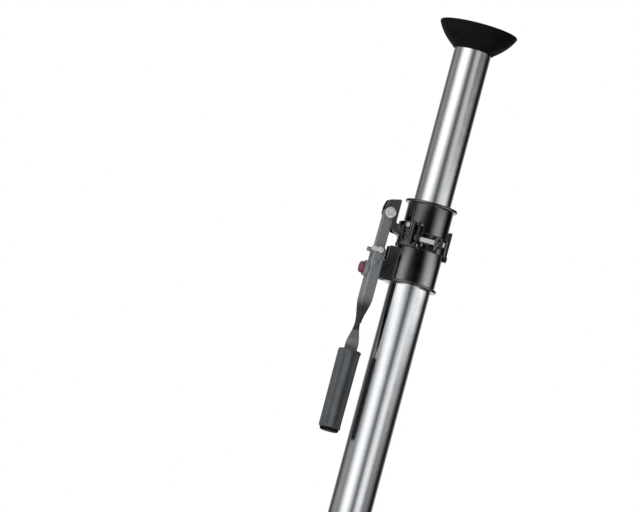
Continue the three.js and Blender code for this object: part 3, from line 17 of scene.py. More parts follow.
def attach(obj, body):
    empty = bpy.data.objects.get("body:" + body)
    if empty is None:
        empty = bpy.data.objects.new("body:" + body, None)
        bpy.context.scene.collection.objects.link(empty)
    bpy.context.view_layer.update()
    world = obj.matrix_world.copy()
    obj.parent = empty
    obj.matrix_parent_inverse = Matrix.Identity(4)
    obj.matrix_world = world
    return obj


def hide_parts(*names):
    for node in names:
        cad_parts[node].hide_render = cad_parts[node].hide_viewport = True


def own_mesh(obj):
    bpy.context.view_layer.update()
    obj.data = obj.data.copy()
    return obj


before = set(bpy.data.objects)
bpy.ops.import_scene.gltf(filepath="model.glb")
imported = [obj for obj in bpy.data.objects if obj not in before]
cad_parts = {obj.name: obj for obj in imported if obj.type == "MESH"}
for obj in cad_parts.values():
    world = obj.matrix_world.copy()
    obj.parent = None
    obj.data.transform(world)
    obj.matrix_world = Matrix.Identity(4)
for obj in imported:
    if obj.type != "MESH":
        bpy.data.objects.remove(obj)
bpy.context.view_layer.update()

MM = 0.001
LOG = logging.getLogger("tension_pole")
Pair = tuple[float, float]
Corner = tuple[float, float, float]

# Radii of the tubes
OUTER_RADIUS = 22.5
INNER_RADIUS = 20.0

# Pivots across the pole, in X and Z: the link's top, the lever's fulcrum, the toggle pin, the pawl's pin
TOP: Pair = (-43.5, 1882.9)
FULCRUM: Pair = (-43.5, 1835.13)
CRANK: Pair = (-44.06, 1841.51)
PAWL: Pair = (-45.1, 1827.43)

# Sides of round pieces, by size, and how far a cutter across the pole reaches each way
SMALL = 48
LARGE = 128
LARGEST = 144
CLEAR = 12.0

AZIMUTH = -14.0  # of the camera
WHITE = (1.0, 1.0, 1.0, 1.0)
RADIAL_LINES = 0.25  # of a turn, which lays a brushed finish's lines round the tube
ROUNDED_FROM = 35.0  # degrees between two faces, from which their edge is rounded


# Meshes


@dataclass
class Skin:
    """A closed skin, or several that overlap, with points in millimetres.

    Args:
        points: places in the model's frame.
        faces: rows of indices into points.
    """

    points: list[Vector]
    faces: list[tuple[int, ...]]

    def placed(self, *turns: Matrix) -> "Skin":
        """Turns and moves the skin.

        Args:
            turns: each turn or move, in order.

        Returns:
            The skin in its new place.
        """
        points = self.points
        for turn in turns:
            points = [turn @ point for point in points]
        return Skin(points, self.faces)

    def mesh(self, name: str) -> bpy.types.Mesh:
        """Makes a mesh of the skin.

        Args:
            name: of the mesh.

        Returns:
            The mesh in metres, with its faces turned outward.
        """
        made = bpy.data.meshes.new(name)
        made.from_pydata([point * MM for point in self.points], [], self.faces)
        work = bmesh.new()
        work.from_mesh(made)
        bmesh.ops.recalc_face_normals(work, faces=work.faces)
        for face in work.faces:
            face.smooth = True
        work.to_mesh(made)
        work.free()
        return made


def together(skins: Iterable[Skin]) -> Skin:
    """Gathers skins into one.

    Args:
        skins: the ones to hold, in order.

    Returns:
        One skin that holds them all.
    """
    points: list[Vector] = []
    faces: list[tuple[int, ...]] = []
    for skin in skins:
        start = len(points)
        points += skin.points
        faces += [tuple(index + start for index in face) for face in skin.faces]
    return Skin(points, faces)


def mixed(start: float, end: float, share: float) -> float:
    """Returns the value a share of the way from one to another."""
    return start + (end - start) * share


def about(axis: str, degrees: float) -> Matrix:
    """Returns a turn about an axis through the origin."""
    return Matrix.Rotation(math.radians(degrees), 4, axis)


def moved(x: float = 0, y: float = 0, z: float = 0) -> Matrix:
    """Returns a move."""
    return Matrix.Translation((x, y, z))


TO_FRONT = about("X", 90)  # heights run toward -Y
TO_BACK = about("X", -90)  # heights run toward +Y
TO_LEVER = about("Y", -90)  # heights run toward -X
TO_KEY = about("Y", 90)  # heights run toward +X


def filleted(corners: Sequence[Corner], steps: int = 4) -> list[Pair]:
    """Rounds the corners of a closed outline.

    Args:
        corners: x, y and radius of each corner.
        steps: how many straight steps make each rounding.

    Returns:
        The outline's points, the same count for any radii above zero.
    """
    rounded: list[Pair] = []
    for index, (x, y, radius) in enumerate(corners):
        here = Vector((x, y))
        if not radius:
            rounded.append((x, y))
            continue
        back = (Vector(corners[index - 1][:2]) - here).normalized()
        ahead = (Vector(corners[(index + 1) % len(corners)][:2]) - here).normalized()
        half = back.angle(ahead) / 2
        centre = here + (back + ahead).normalized() * (radius / math.sin(half))
        reach = radius / math.tan(half)
        first, last = here + back * reach - centre, here + ahead * reach - centre
        start = math.atan2(first.y, first.x)
        sweep = (math.atan2(last.y, last.x) - start + math.pi) % (2 * math.pi) - math.pi
        for step in range(steps + 1):
            angle = start + sweep * step / steps
            rounded.append((centre.x + radius * math.cos(angle), centre.y + radius * math.sin(angle)))
    return rounded


def arc(x: float, y: float, radius: float, start: float, end: float, steps: int = 12) -> list[Corner]:
    """Returns the points of an arc, from and to angles in degrees, as unrounded corners."""
    angles = [math.radians(start + (end - start) * step / steps) for step in range(steps + 1)]
    return [(x + radius * math.cos(angle), y + radius * math.sin(angle), 0) for angle in angles]


def spun(profile: Sequence[Pair], sides: int = 96) -> Skin:
    """Turns a profile of (radius, height) points about the upright axis.

    Args:
        profile: a closed outline, or one that starts and ends on the axis.
        sides: how many steps go round.

    Returns:
        The turned skin.
    """
    points: list[Vector] = []
    rings: list[range] = []
    for radius, height in profile:
        count = 1 if radius < 1e-6 else sides
        rings.append(range(len(points), len(points) + count))
        for step in range(count):
            angle = 2 * math.pi * step / sides
            points.append(Vector((radius * math.cos(angle), radius * math.sin(angle), height)))
    open_ended = len(rings[0]) == 1 and len(rings[-1]) == 1
    faces: list[tuple[int, ...]] = []
    for low, high in zip(rings, rings[1:] + ([] if open_ended else rings[:1])):
        for step in range(sides):
            corners = (low[step % len(low)], low[(step + 1) % len(low)],
                       high[(step + 1) % len(high)], high[step % len(high)])
            face = tuple(dict.fromkeys(corners))
            if len(face) > 2:
                faces.append(face)
    return Skin(points, faces)


def loft(rings: Sequence[Sequence[Vector]]) -> Skin:
    """Joins rings into one skin, closed at both ends.

    Args:
        rings: of equally many points each, in order along the skin.

    Returns:
        The closed skin.
    """
    count = len(rings[0])
    faces: list[tuple[int, ...]] = []
    for row in range(len(rings) - 1):
        for step in range(count):
            low, after = row * count + step, row * count + (step + 1) % count
            faces.append((low, after, after + count, low + count))
    last = (len(rings) - 1) * count
    faces += [tuple(range(count)), tuple(range(last + count - 1, last - 1, -1))]
    return Skin([point for ring in rings for point in ring], faces)


def prism(outline: Sequence[Pair], low: float, high: float) -> Skin:
    """Raises an outline from one height to another."""
    return loft([[Vector((x, y, height)) for x, y in outline] for height in (low, high)])


def plate(outline: Sequence[Pair], near: float, far: float) -> Skin:
    """Makes a plate with an outline in X and Z, from one Y to another."""
    return prism(outline, -far, -near).placed(TO_FRONT)


def rod(radius: float, low: float, high: float, sides: int = 32) -> Skin:
    """Makes a plain round bar between two heights."""
    return spun([(0, low), (radius, low), (radius, high), (0, high)], sides)


def cross_hole(radius: float, x: float, z: float, reach: float = CLEAR, sides: int = 32) -> Skin:
    """Makes the cutter of a round hole along Y."""
    return rod(radius, -reach, reach, sides).placed(TO_FRONT, moved(x, 0, z))


def block(low: Corner, high: Corner) -> Skin:
    """Makes a box between two corners."""
    (x0, y0, z0), (x1, y1, z1) = low, high
    return prism([(x0, y0), (x1, y0), (x1, y1), (x0, y1)], z0, z1)


def swept(path: Sequence[Vector], radius: float, sides: int = 12) -> Skin:
    """Draws a round wire along a path.

    Args:
        path: the points on the wire's middle line.
        radius: of the wire.
        sides: of its section.

    Returns:
        The wire, closed at both ends.
    """
    rings: list[list[Vector]] = []
    side = Vector((0, 0, 1))
    for index, place in enumerate(path):
        along = (path[min(index + 1, len(path) - 1)] - path[max(index - 1, 0)]).normalized()
        if index == 0:
            side = along.orthogonal()
        side = (side - along * side.dot(along)).normalized()
        up = along.cross(side)
        rings.append([place + (side * math.cos(turn) + up * math.sin(turn)) * radius
                      for turn in (2 * math.pi * step / sides for step in range(sides))])
    return loft(rings)


def washer(inner: float, outer: float, low: float, high: float, edge: float = 0.3) -> list[Pair]:
    """Returns the profile of a ring with rounded edges."""
    return filleted([(inner, low, edge), (outer, low, edge), (outer, high, edge), (inner, high, edge)])


def disc(radius: float, low: float, high: float, edge: float = 0.3) -> list[Pair]:
    """Returns the profile of a disc with rounded edges."""
    return filleted([(0, low, 0), (radius, low, edge), (radius, high, edge), (0, high, 0)])


def threaded(radius: float, pitch: float, low: float, high: float) -> list[Pair]:
    """Draws the profile of a threaded rod.

    Args:
        radius: of the ridges' crests.
        pitch: from one ridge to the next, about.
        low: where the thread starts.
        high: where it ends.

    Returns:
        The profile, with a ridge to each turn.
    """
    turns = int((high - low) / pitch)
    start, root, end, lead = radius - 0.3, radius - 0.32, radius - 0.35, 0.05
    points: list[Pair] = [(0, low), (start, low)]
    for turn in range(turns):
        foot = mixed(low, high, turn / turns)
        points += [(root, foot + lead), (radius, foot + pitch / 2)]
    return points + [(end, high), (0, high)]


# Finishes


def linear(colour: str) -> tuple[float, float, float, float]:
    """Turns an sRGB colour into linear light.

    Args:
        colour: six hex digits after a hash.

    Returns:
        Red, green and blue in linear light, and an alpha of one.
    """
    levels = [int(colour[at:at + 2], 16) / 255 for at in (1, 3, 5)]
    red, green, blue = [v / 12.92 if v <= 0.04045 else ((v + 0.055) / 1.055) ** 2.4 for v in levels]
    return red, green, blue, 1.0


def add(tree: bpy.types.NodeTree, kind: str, values: dict | None = None, links: dict | None = None,
        **fields: object) -> bpy.types.Node:
    """Adds a node with its settings and links.

    Args:
        tree: where the node goes.
        kind: the node's type name.
        values: settings of its sockets, by name or index.
        links: sockets that feed its sockets, by name or index.
        fields: settings of the node itself.

    Returns:
        The new node.
    """
    made = tree.nodes.new(kind)
    for name, value in fields.items():
        setattr(made, name, value)
    for socket, value in (values or {}).items():
        made.inputs[socket].default_value = value
    for socket, source in (links or {}).items():
        tree.links.new(source, made.inputs[socket])
    return made


@dataclass(frozen=True)
class Grain:
    """One layer of a surface's pattern.

    Args:
        size: of one grain in millimetres.
        stretch: how much longer a grain is along X, Y and Z.
        tint: the colour that the grains bring in.
        cover: how much of the tint shows where it is strongest.
        gloss: how far the roughness swings each way.
        relief: depth of the bump in millimetres.
        cells: round pits in place of soft noise.
    """

    size: float
    stretch: tuple[float, float, float] = (1, 1, 1)
    tint: str = ""
    cover: float = 0.0
    gloss: float = 0.0
    relief: float = 0.0
    cells: bool = False


@dataclass(frozen=True)
class Finish:
    """A real finish: its colour, how it takes the light, and the layers of its pattern.

    Args:
        name: of the material.
        slot: the frame's material slot; not used.
        colour: of the surface in sRGB.
        roughness: of the surface.
        metallic: 1 for bare metal.
        ior: index of refraction.
        coat: weight of a clear coat.
        coat_roughness: of that coat.
        brushed: how far polishing lines round Z spread the light along it.
        grains: the layers of the pattern.
        fade: painted shade: a colour, and the heights in millimetres between which it takes over.
    """

    name: str
    slot: str
    colour: str
    roughness: float
    metallic: float = 0.0
    ior: float = 1.5
    coat: float = 0.0
    coat_roughness: float = 0.1
    brushed: float = 0.0
    grains: tuple[Grain, ...] = ()
    fade: tuple[str, float, float] | None = None

    def material(self) -> bpy.types.Material:
        """Makes the finish's material the first time it is asked for.

        Returns:
            The material.
        """
        if known := bpy.data.materials.get(self.name):
            return known
        made = bpy.data.materials.new(self.name)
        made.use_nodes = True
        tree = made.node_tree
        shader = tree.nodes["Principled BSDF"]
        for socket, value in (("Base Color", linear(self.colour)), ("Roughness", self.roughness),
                              ("Metallic", self.metallic), ("IOR", self.ior), ("Coat Weight", self.coat),
                              ("Coat Roughness", self.coat_roughness), ("Anisotropic", self.brushed),
                              ("Anisotropic Rotation", RADIAL_LINES)):
            shader.inputs[socket].default_value = value
        if self.brushed:
            lines = add(tree, "ShaderNodeTangent", direction_type="RADIAL", axis="Z")
            tree.links.new(lines.outputs[0], shader.inputs["Tangent"])
        self.pattern(tree, shader)
        return made

    def pattern(self, tree: bpy.types.NodeTree, shader: bpy.types.Node) -> None:
        """Lays the grains into colour, roughness and normal, and paints the fade's shade into the colour.

        Args:
            tree: the material's nodes.
            shader: the surface that the layers feed.
        """
        place = add(tree, "ShaderNodeTexCoord").outputs["Object"]
        colour = gloss = normal = None
        for grain in self.grains:
            scale = [1 / (grain.size * MM * reach) for reach in grain.stretch]
            at = add(tree, "ShaderNodeMapping", {"Scale": scale}, {"Vector": place}).outputs[0]
            if grain.cells:
                cells = add(tree, "ShaderNodeTexVoronoi", {"Scale": 1.0}, {"Vector": at})
                raw, low = cells.outputs["Distance"], 0.0
            else:
                clouds = add(tree, "ShaderNodeTexNoise", {"Scale": 1.0, "Detail": 3.0}, {"Vector": at})
                raw, low = clouds.outputs["Fac"], 0.3
            share = add(tree, "ShaderNodeMapRange", {"From Min": low, "From Max": 0.7},
                        {"Value": raw}).outputs[0]
            if grain.tint:
                cover = add(tree, "ShaderNodeMath", {1: grain.cover}, {0: share}, operation="MULTIPLY")
                mix = add(tree, "ShaderNodeMix", {6: linear(self.colour), 7: linear(grain.tint)},
                          {0: cover.outputs[0]}, data_type="RGBA")
                if colour:
                    tree.links.new(colour, mix.inputs[6])
                colour = mix.outputs[2]
            if grain.gloss:
                swing = add(tree, "ShaderNodeMapRange", {"To Min": -grain.gloss, "To Max": grain.gloss},
                            {"Value": share}).outputs[0]
                level = add(tree, "ShaderNodeMath", {1: self.roughness}, {0: swing}, operation="ADD")
                if gloss:
                    tree.links.new(gloss, level.inputs[1])
                gloss = level.outputs[0]
            if grain.relief:
                bump = add(tree, "ShaderNodeBump", {"Strength": 1.0, "Distance": grain.relief * MM},
                           {"Height": share})
                if normal:
                    tree.links.new(normal, bump.inputs["Normal"])
                normal = bump.outputs[0]
        # Painted shade: the colour goes over to the fade's dark tone between two heights.
        if self.fade:
            shade_tone, start, end = self.fade
            height = add(tree, "ShaderNodeSeparateXYZ", {}, {0: place}).outputs["Z"]
            share = add(tree, "ShaderNodeMapRange", {"From Min": start * MM, "From Max": end * MM},
                        {"Value": height}, interpolation_type="SMOOTHSTEP").outputs[0]
            mix = add(tree, "ShaderNodeMix", {7: linear(shade_tone)}, {0: share, 6: colour}, data_type="RGBA")
            colour = mix.outputs[2]
        for socket, source in (("Base Color", colour), ("Roughness", gloss), ("Normal", normal)):
            if source:
                tree.links.new(source, shader.inputs[socket])


# Drawn tube, polished round and clear anodised: bands of light that stay crisp across the tube and run
# softly along it, with fine drawing lines and slightly duller streaks.
ANODISED = Finish("anodised_aluminium", "anodised", "#D6D8DA", 0.115, metallic=1.0, brushed=0.88, grains=(
    Grain(0.5, (1, 1, 400), tint="#B9BCC0", cover=0.3, relief=0.003),
    Grain(5.0, (1, 1, 60), gloss=0.03),
    Grain(14.0, tint="#C4C6C8", cover=0.3, gloss=0.02),
))
# Stove enamel on die-cast aluminium: deep black with sharp grey window lights over a faint orange peel.
BLACK_ENAMEL = Finish("black_stove_enamel", "black_paint", "#020202", 0.08, ior=1.6, coat=1.0,
                      coat_roughness=0.05, grains=(
    Grain(1.1, relief=0.002, gloss=0.03),
    Grain(9.0, tint="#070708", cover=0.7, gloss=0.02),
))
# Grey powder coat on pressed steel: even mid grey with a soft sheen and a fine pimpled skin.
GREY_POWDER = Finish("grey_powder_coat", "grey_paint", "#74777A", 0.42, grains=(
    Grain(0.5, relief=0.02, gloss=0.05, cells=True),
    Grain(7.0, tint="#66696C", cover=0.5),
    Grain(2.0, tint="#7F8285", cover=0.3),
))
# The same powder on the pinched neck, with painted shade: it goes nearly black downward, where the twist
# turns the neck away from the light.
NECK_SHADE_POWDER = Finish("neck_painted_shade_powder", "grey_paint", "#74777A", 0.42, grains=(
    Grain(0.5, relief=0.02, gloss=0.05, cells=True),
    Grain(6.0, tint="#5C5F62", cover=0.6),
), fade=("#0E0F10", 1791.0, 1777.0))
# The same powder on the flat bar below the twist, painted a little darker than on the channel as painted
# shade.
BAR_SHADE_POWDER = Finish("bar_painted_shade_powder", "grey_paint", "#595C5F", 0.38, grains=(
    Grain(0.5, relief=0.02, gloss=0.05, cells=True),
    Grain(6.0, tint="#45484A", cover=0.6),
))
# Moulded black rubber: dull black that greys in soft clouds; its matt grain sends back little light, so
# its index is low.
BLACK_RUBBER = Finish("moulded_rubber", "black_rubber", "#010101", 0.6, ior=1.2, grains=(
    Grain(0.8, relief=0.02, gloss=0.05, cells=True),
    Grain(9.0, (1.6, 1.6, 1), tint="#121315", cover=0.9, gloss=0.2),
))
# Grey vinyl grip, dip moulded over the bar: smooth dark grey with a satin highlight and finger dulling.
GREY_VINYL = Finish("grip_vinyl", "grey_rubber", "#545759", 0.42, ior=1.3, grains=(
    Grain(0.6, relief=0.015, gloss=0.05, cells=True),
    Grain(10.0, (1, 1, 2.5), tint="#323437", cover=0.6, gloss=0.07),
))
# Bright zinc plate on turned steel: pale metal, mottled where the plating clouds.
ZINC_PLATE = Finish("bright_zinc_plate", "zinc", "#E2E3E0", 0.42, metallic=1.0, grains=(
    Grain(1.6, tint="#A8AAA9", cover=0.5, gloss=0.08),
    Grain(0.3, relief=0.01),
))
# Oil-blackened steel: near black metal with brown-grey clouds.
BLACK_OXIDE = Finish("black_oxide_steel", "dark_steel", "#3A3B3D", 0.36, metallic=1.0, grains=(
    Grain(1.4, tint="#4B4845", cover=0.5, gloss=0.08),
    Grain(0.25, relief=0.01),
))
# Drawn spring wire: grey metal with lines along the draw.
DRAWN_STEEL = Finish("drawn_spring_steel", "spring_steel", "#9FA1A3", 0.3, metallic=1.0, grains=(
    Grain(0.2, (1, 1, 30), tint="#77797B", cover=0.5, relief=0.008),
    Grain(3.0, gloss=0.06),
))
# Moulded nylon bushes: waxy off-white, a little clouded.
WHITE_NYLON = Finish("moulded_nylon", "white_nylon", "#DEDCD4", 0.48, ior=1.53, grains=(
    Grain(2.5, tint="#CFCCC1", cover=0.5, gloss=0.05),
    Grain(0.4, relief=0.01),
))
# Moulded black acetal: satin black with a faint spark-eroded grain.
BLACK_ACETAL = Finish("moulded_acetal", "black_plastic", "#161719", 0.4, ior=1.48, grains=(
    Grain(0.35, relief=0.015, gloss=0.05, cells=True),
    Grain(5.0, tint="#232427", cover=0.6),
))
# Moulded red ABS button: dusky red with a soft gloss, thumbed duller in patches.
RED_ABS = Finish("moulded_abs", "red_plastic", "#70323F", 0.3, ior=1.54, grains=(
    Grain(0.4, relief=0.01, gloss=0.04),
    Grain(3.0, tint="#5E1628", cover=0.6, gloss=0.06),
))


# Pieces


def carved(skin: Skin, cutters: Sequence[Skin], name: str) -> bpy.types.Mesh:
    """Cuts skins out of one another.

    Args:
        skin: the body, whose own skins may overlap.
        cutters: what is taken away.
        name: of the mesh.

    Returns:
        The mesh that is left.
    """
    scene = bpy.context.scene.collection
    body = bpy.data.objects.new(name, skin.mesh(name))
    tool = bpy.data.objects.new(name + "_tool", together(cutters).mesh(name + "_tool"))
    for item in (body, tool):
        scene.objects.link(item)
    cut = body.modifiers.new("cut", "BOOLEAN")
    cut.operation, cut.solver, cut.object, cut.use_self = "DIFFERENCE", "EXACT", tool, True
    bpy.context.view_layer.update()
    made = bpy.data.meshes.new_from_object(body.evaluated_get(bpy.context.evaluated_depsgraph_get()))
    for item in (body, tool):
        bpy.data.objects.remove(item)
    for face in made.polygons:
        face.use_smooth = True
    made.name = name
    return made


def fitted(name: str, body: str, finish: Finish, skins: Sequence[Skin], nodes: Sequence[str] = (),
           cutters: Sequence[Skin] = (), edge: float = 0.0) -> bpy.types.Object:
    """Makes a piece of the object, finishes it and hangs it on its body.

    Args:
        name: of the piece.
        body: the CAD body that it moves with.
        finish: its surface.
        skins: its shape.
        nodes: the CAD nodes that it stands for.
        cutters: what is cut out of its shape.
        edge: how far its sharp edges are rounded.

    Returns:
        The piece.
    """
    whole = together(skins)
    mesh = carved(whole, cutters, name) if cutters else whole.mesh(name)
    made = bpy.data.objects.new(name, mesh)
    bpy.context.scene.collection.objects.link(made)
    mesh.materials.clear()
    mesh.materials.append(finish.material())
    if edge:
        rounding = made.modifiers.new("edges", "BEVEL")
        rounding.width, rounding.segments = edge * MM, 2
        rounding.limit_method, rounding.angle_limit = "ANGLE", math.radians(ROUNDED_FROM)
        rounding.miter_outer = "MITER_ARC"
    made.modifiers.new("normals", "WEIGHTED_NORMAL").keep_sharp = True
    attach(made, body)
    if nodes:
        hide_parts(*nodes)
    LOG.info("%s on %s, %d faces", name, body, len(mesh.polygons))
    return made


def refinished(node: str, finish: Finish) -> None:
    """Gives a CAD node that stays in view its real finish.

    Args:
        node: the CAD node's name.
        finish: what it is finished in.
    """
    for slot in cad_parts[node].material_slots:
        slot.link, slot.material = "OBJECT", finish.material()
    LOG.info("%s refinished as %s", node, finish.name)


@dataclass(frozen=True)
class EndFitting:
    """The rubber cup, plug, cone and bolt at one end of the pole."""

    prefix: str
    body: str
    tube_radius: float
    sole: float
    upward: bool
    cup_radius: float = 42.0
    lip_width: float = 5.0
    lip_height: float = 1.8
    pad_radius: float = 14.0
    recess: float = 2.2
    slope: float = 1.5  # from the recess down to the pad and to the lip
    tread_radii: tuple[float, ...] = (19.5, 25.0, 30.5)
    tread_height: float = 1.5
    tread_halves: Pair = (1.5, 0.8)  # half a tread's width at its root and at its crest
    waist: Pair = (36.5, 14.0)
    flare_end: float = 0.8  # below the neck's rim
    flare_steps: int = 14
    height: float = 25.5
    neck_gap: float = 0.3
    neck_wall: float = 1.9
    rim_edge: float = 0.3
    floor: float = 6.0
    seat: float = 10.1
    flange_radius: float = 27.3

    def cup_profile(self) -> list[Pair]:
        """Draws the cup's profile.

        Returns:
            The outline from the middle of its sole round to its floor.
        """
        recess, slope = self.recess, self.slope
        corners: list[Corner] = [(0, 0, 0), (self.pad_radius, 0, 0.8),
                                 (self.pad_radius + slope, recess, 0.5)]
        root, crest = self.tread_halves
        top = recess - self.tread_height
        for radius in self.tread_radii:
            corners += [(radius - root, recess, 0.3), (radius - crest, top, 0.4),
                        (radius + crest, top, 0.4), (radius + root, recess, 0.3)]
        inner = self.cup_radius - self.lip_width
        corners += [(inner - slope, recess, 0.5), (inner, 0, 0.8), (self.cup_radius, 0, 0.8),
                    (self.cup_radius, self.lip_height, 0.5)]
        neck = self.tube_radius + self.neck_gap
        rim = neck + self.neck_wall
        start, bend = Vector((self.cup_radius, self.lip_height)), Vector(self.waist)
        end = Vector((rim, self.height - self.flare_end))
        for step in range(1, self.flare_steps + 1):
            share = step / self.flare_steps
            place = start.lerp(bend, share).lerp(bend.lerp(end, share), share)
            corners.append((place.x, place.y, 0))
        corners += [(rim - self.rim_edge, self.height, self.rim_edge), (neck, self.height, 0.5),
                    (neck, self.seat, 0), (self.flange_radius, self.seat, 0),
                    (self.flange_radius, self.floor, 0), (0, self.floor, 0)]
        return filleted(corners)

    def build(self) -> None:
        """Makes the cup and finishes the pieces inside it."""
        turn = Matrix.Identity(4) if self.upward else about("X", 180)
        cup = spun(self.cup_profile(), LARGE).placed(turn, moved(z=self.sole))
        fitted(f"{self.prefix}_cup_moulding", self.body, BLACK_RUBBER, [cup], [f"{self.prefix}_cup"])
        refinished(f"{self.prefix}_plug", BLACK_ACETAL)
        refinished(f"{self.prefix}_cone", ZINC_PLATE)
        refinished(f"{self.prefix}_bolt", ZINC_PLATE)


@dataclass(frozen=True)
class Tube:
    """A drawn tube with lightly broken ends."""

    name: str
    body: str
    radius: float
    wall: float
    low: float
    high: float
    edge: float = 0.35

    def build(self) -> None:
        """Makes the tube."""
        profile = washer(self.radius - self.wall, self.radius, self.low, self.high, self.edge)
        fitted(f"{self.name}_drawn", self.body, ANODISED, [spun(profile, LARGE)], [self.name])


@dataclass(frozen=True)
class Collars:
    """The two black collars, the key between them and the bushes that they hold."""

    upper_bore: float = 22.0
    upper_radius: float = 24.75
    upper_low: float = 1870.5
    upper_high: float = 1904.0
    flange_radius: float = 28.3
    flange_height: float = 3.0
    lower_bore: float = 22.8
    lower_radius: float = 25.5
    lower_low: float = 1812.8
    lower_high: float = 1855.5
    ear_inner: float = 4.6
    ear_outer: float = 7.0
    ear_root: float = -23.5
    ear_high: float = 1850.0
    ear_spine: float = 9.4  # from the fulcrum in to the ears' upright edge
    notch: Pair = (6.8, 2.6)  # from the fulcrum in and down to the corner beside the boss
    boss: float = 3.8
    boss_end: float = 216.0  # where the boss's round stops, in degrees
    lip: Pair = (0.8, 7.6)  # from the fulcrum in and down to where the ears' front edge starts
    chamfer: float = 2.6
    fulcrum_hole: float = 2.5
    web_front: float = -29.6
    web_half: float = 4.9
    web_high: float = 1838.0
    key_inner: float = 26.1
    key_outer: float = 28.8
    key_low: float = 1849.0
    key_high: float = 1881.0
    key_half: float = 6.0
    key_chamfer: float = 1.2

    def upper(self) -> None:
        """Makes the upper collar with its flange on top."""
        step = self.upper_high - self.flange_height
        profile = filleted([
            (self.upper_bore, self.upper_low, 0.4), (self.upper_radius, self.upper_low, 0.5),
            (self.upper_radius, step, 0.8), (self.flange_radius, step, 0.7),
            (self.flange_radius, self.upper_high, 0.9), (self.upper_bore, self.upper_high, 0.6),
        ])
        fitted("upper_collar_casting", "lift_collar", BLACK_ENAMEL, [spun(profile, LARGE)],
               ["upper_collar"])
        refinished("collar_bush", WHITE_NYLON)

    def ear_outline(self) -> list[Pair]:
        """Draws the ears that carry the fulcrum.

        Returns:
            Their outline in X and Z.
        """
        x, z = FULCRUM
        spine, front = x + self.ear_spine, x + self.lip[0]
        step = z - self.notch[1]
        return filleted([
            (self.ear_root, self.ear_high, 0), (spine, self.ear_high, 1.4), (spine, z, 0.8),
            (x + self.notch[0], step, 0.8), (x + self.boss, step, 0),
            *arc(x, z, self.boss, 0, self.boss_end, 20), (front, z - self.lip[1], 1.0),
            (front, self.lower_low + self.chamfer, 0.8), (front + self.chamfer, self.lower_low, 0.8),
            (self.ear_root, self.lower_low, 0),
        ])

    def lower(self) -> None:
        """Makes the lower collar with its flange, fulcrum ears and the block between them."""
        step = self.lower_low + self.flange_height
        profile = filleted([
            (self.lower_bore, self.lower_low, 0.4), (self.flange_radius, self.lower_low, 0.9),
            (self.flange_radius, step, 0.7), (self.lower_radius, step, 0.8),
            (self.lower_radius, self.lower_high, 0.5), (self.lower_bore, self.lower_high, 0.3),
        ])
        outline = self.ear_outline()
        web = block((self.web_front, -self.web_half, self.lower_low),
                    (self.ear_root, self.web_half, self.web_high))
        skins = [spun(profile, LARGE), plate(outline, -self.ear_outer, -self.ear_inner),
                 plate(outline, self.ear_inner, self.ear_outer), web]
        fitted("lower_collar_casting", "base_pole", BLACK_ENAMEL, skins, ["lower_collar"],
               cutters=[cross_hole(self.fulcrum_hole, *FULCRUM)], edge=0.5)
        refinished("guide_bush", WHITE_NYLON)

    def key(self) -> None:
        """Makes the guide key that keeps the collars in line."""
        low, high, chamfer = self.key_low, self.key_high, self.key_chamfer
        outline = filleted([
            (self.key_inner, low, 0), (self.key_outer - chamfer, low, 0.4),
            (self.key_outer, low + chamfer, 0.5), (self.key_outer, high - chamfer, 0.5),
            (self.key_outer - chamfer, high, 0.4), (self.key_inner, high, 0),
        ])
        fitted("guide_key_moulding", "base_pole", BLACK_ACETAL,
               [plate(outline, -self.key_half, self.key_half)], ["guide_key"], edge=0.7)

    def build(self) -> None:
        """Makes both collars and the key."""
        self.upper()
        self.lower()
        self.key()


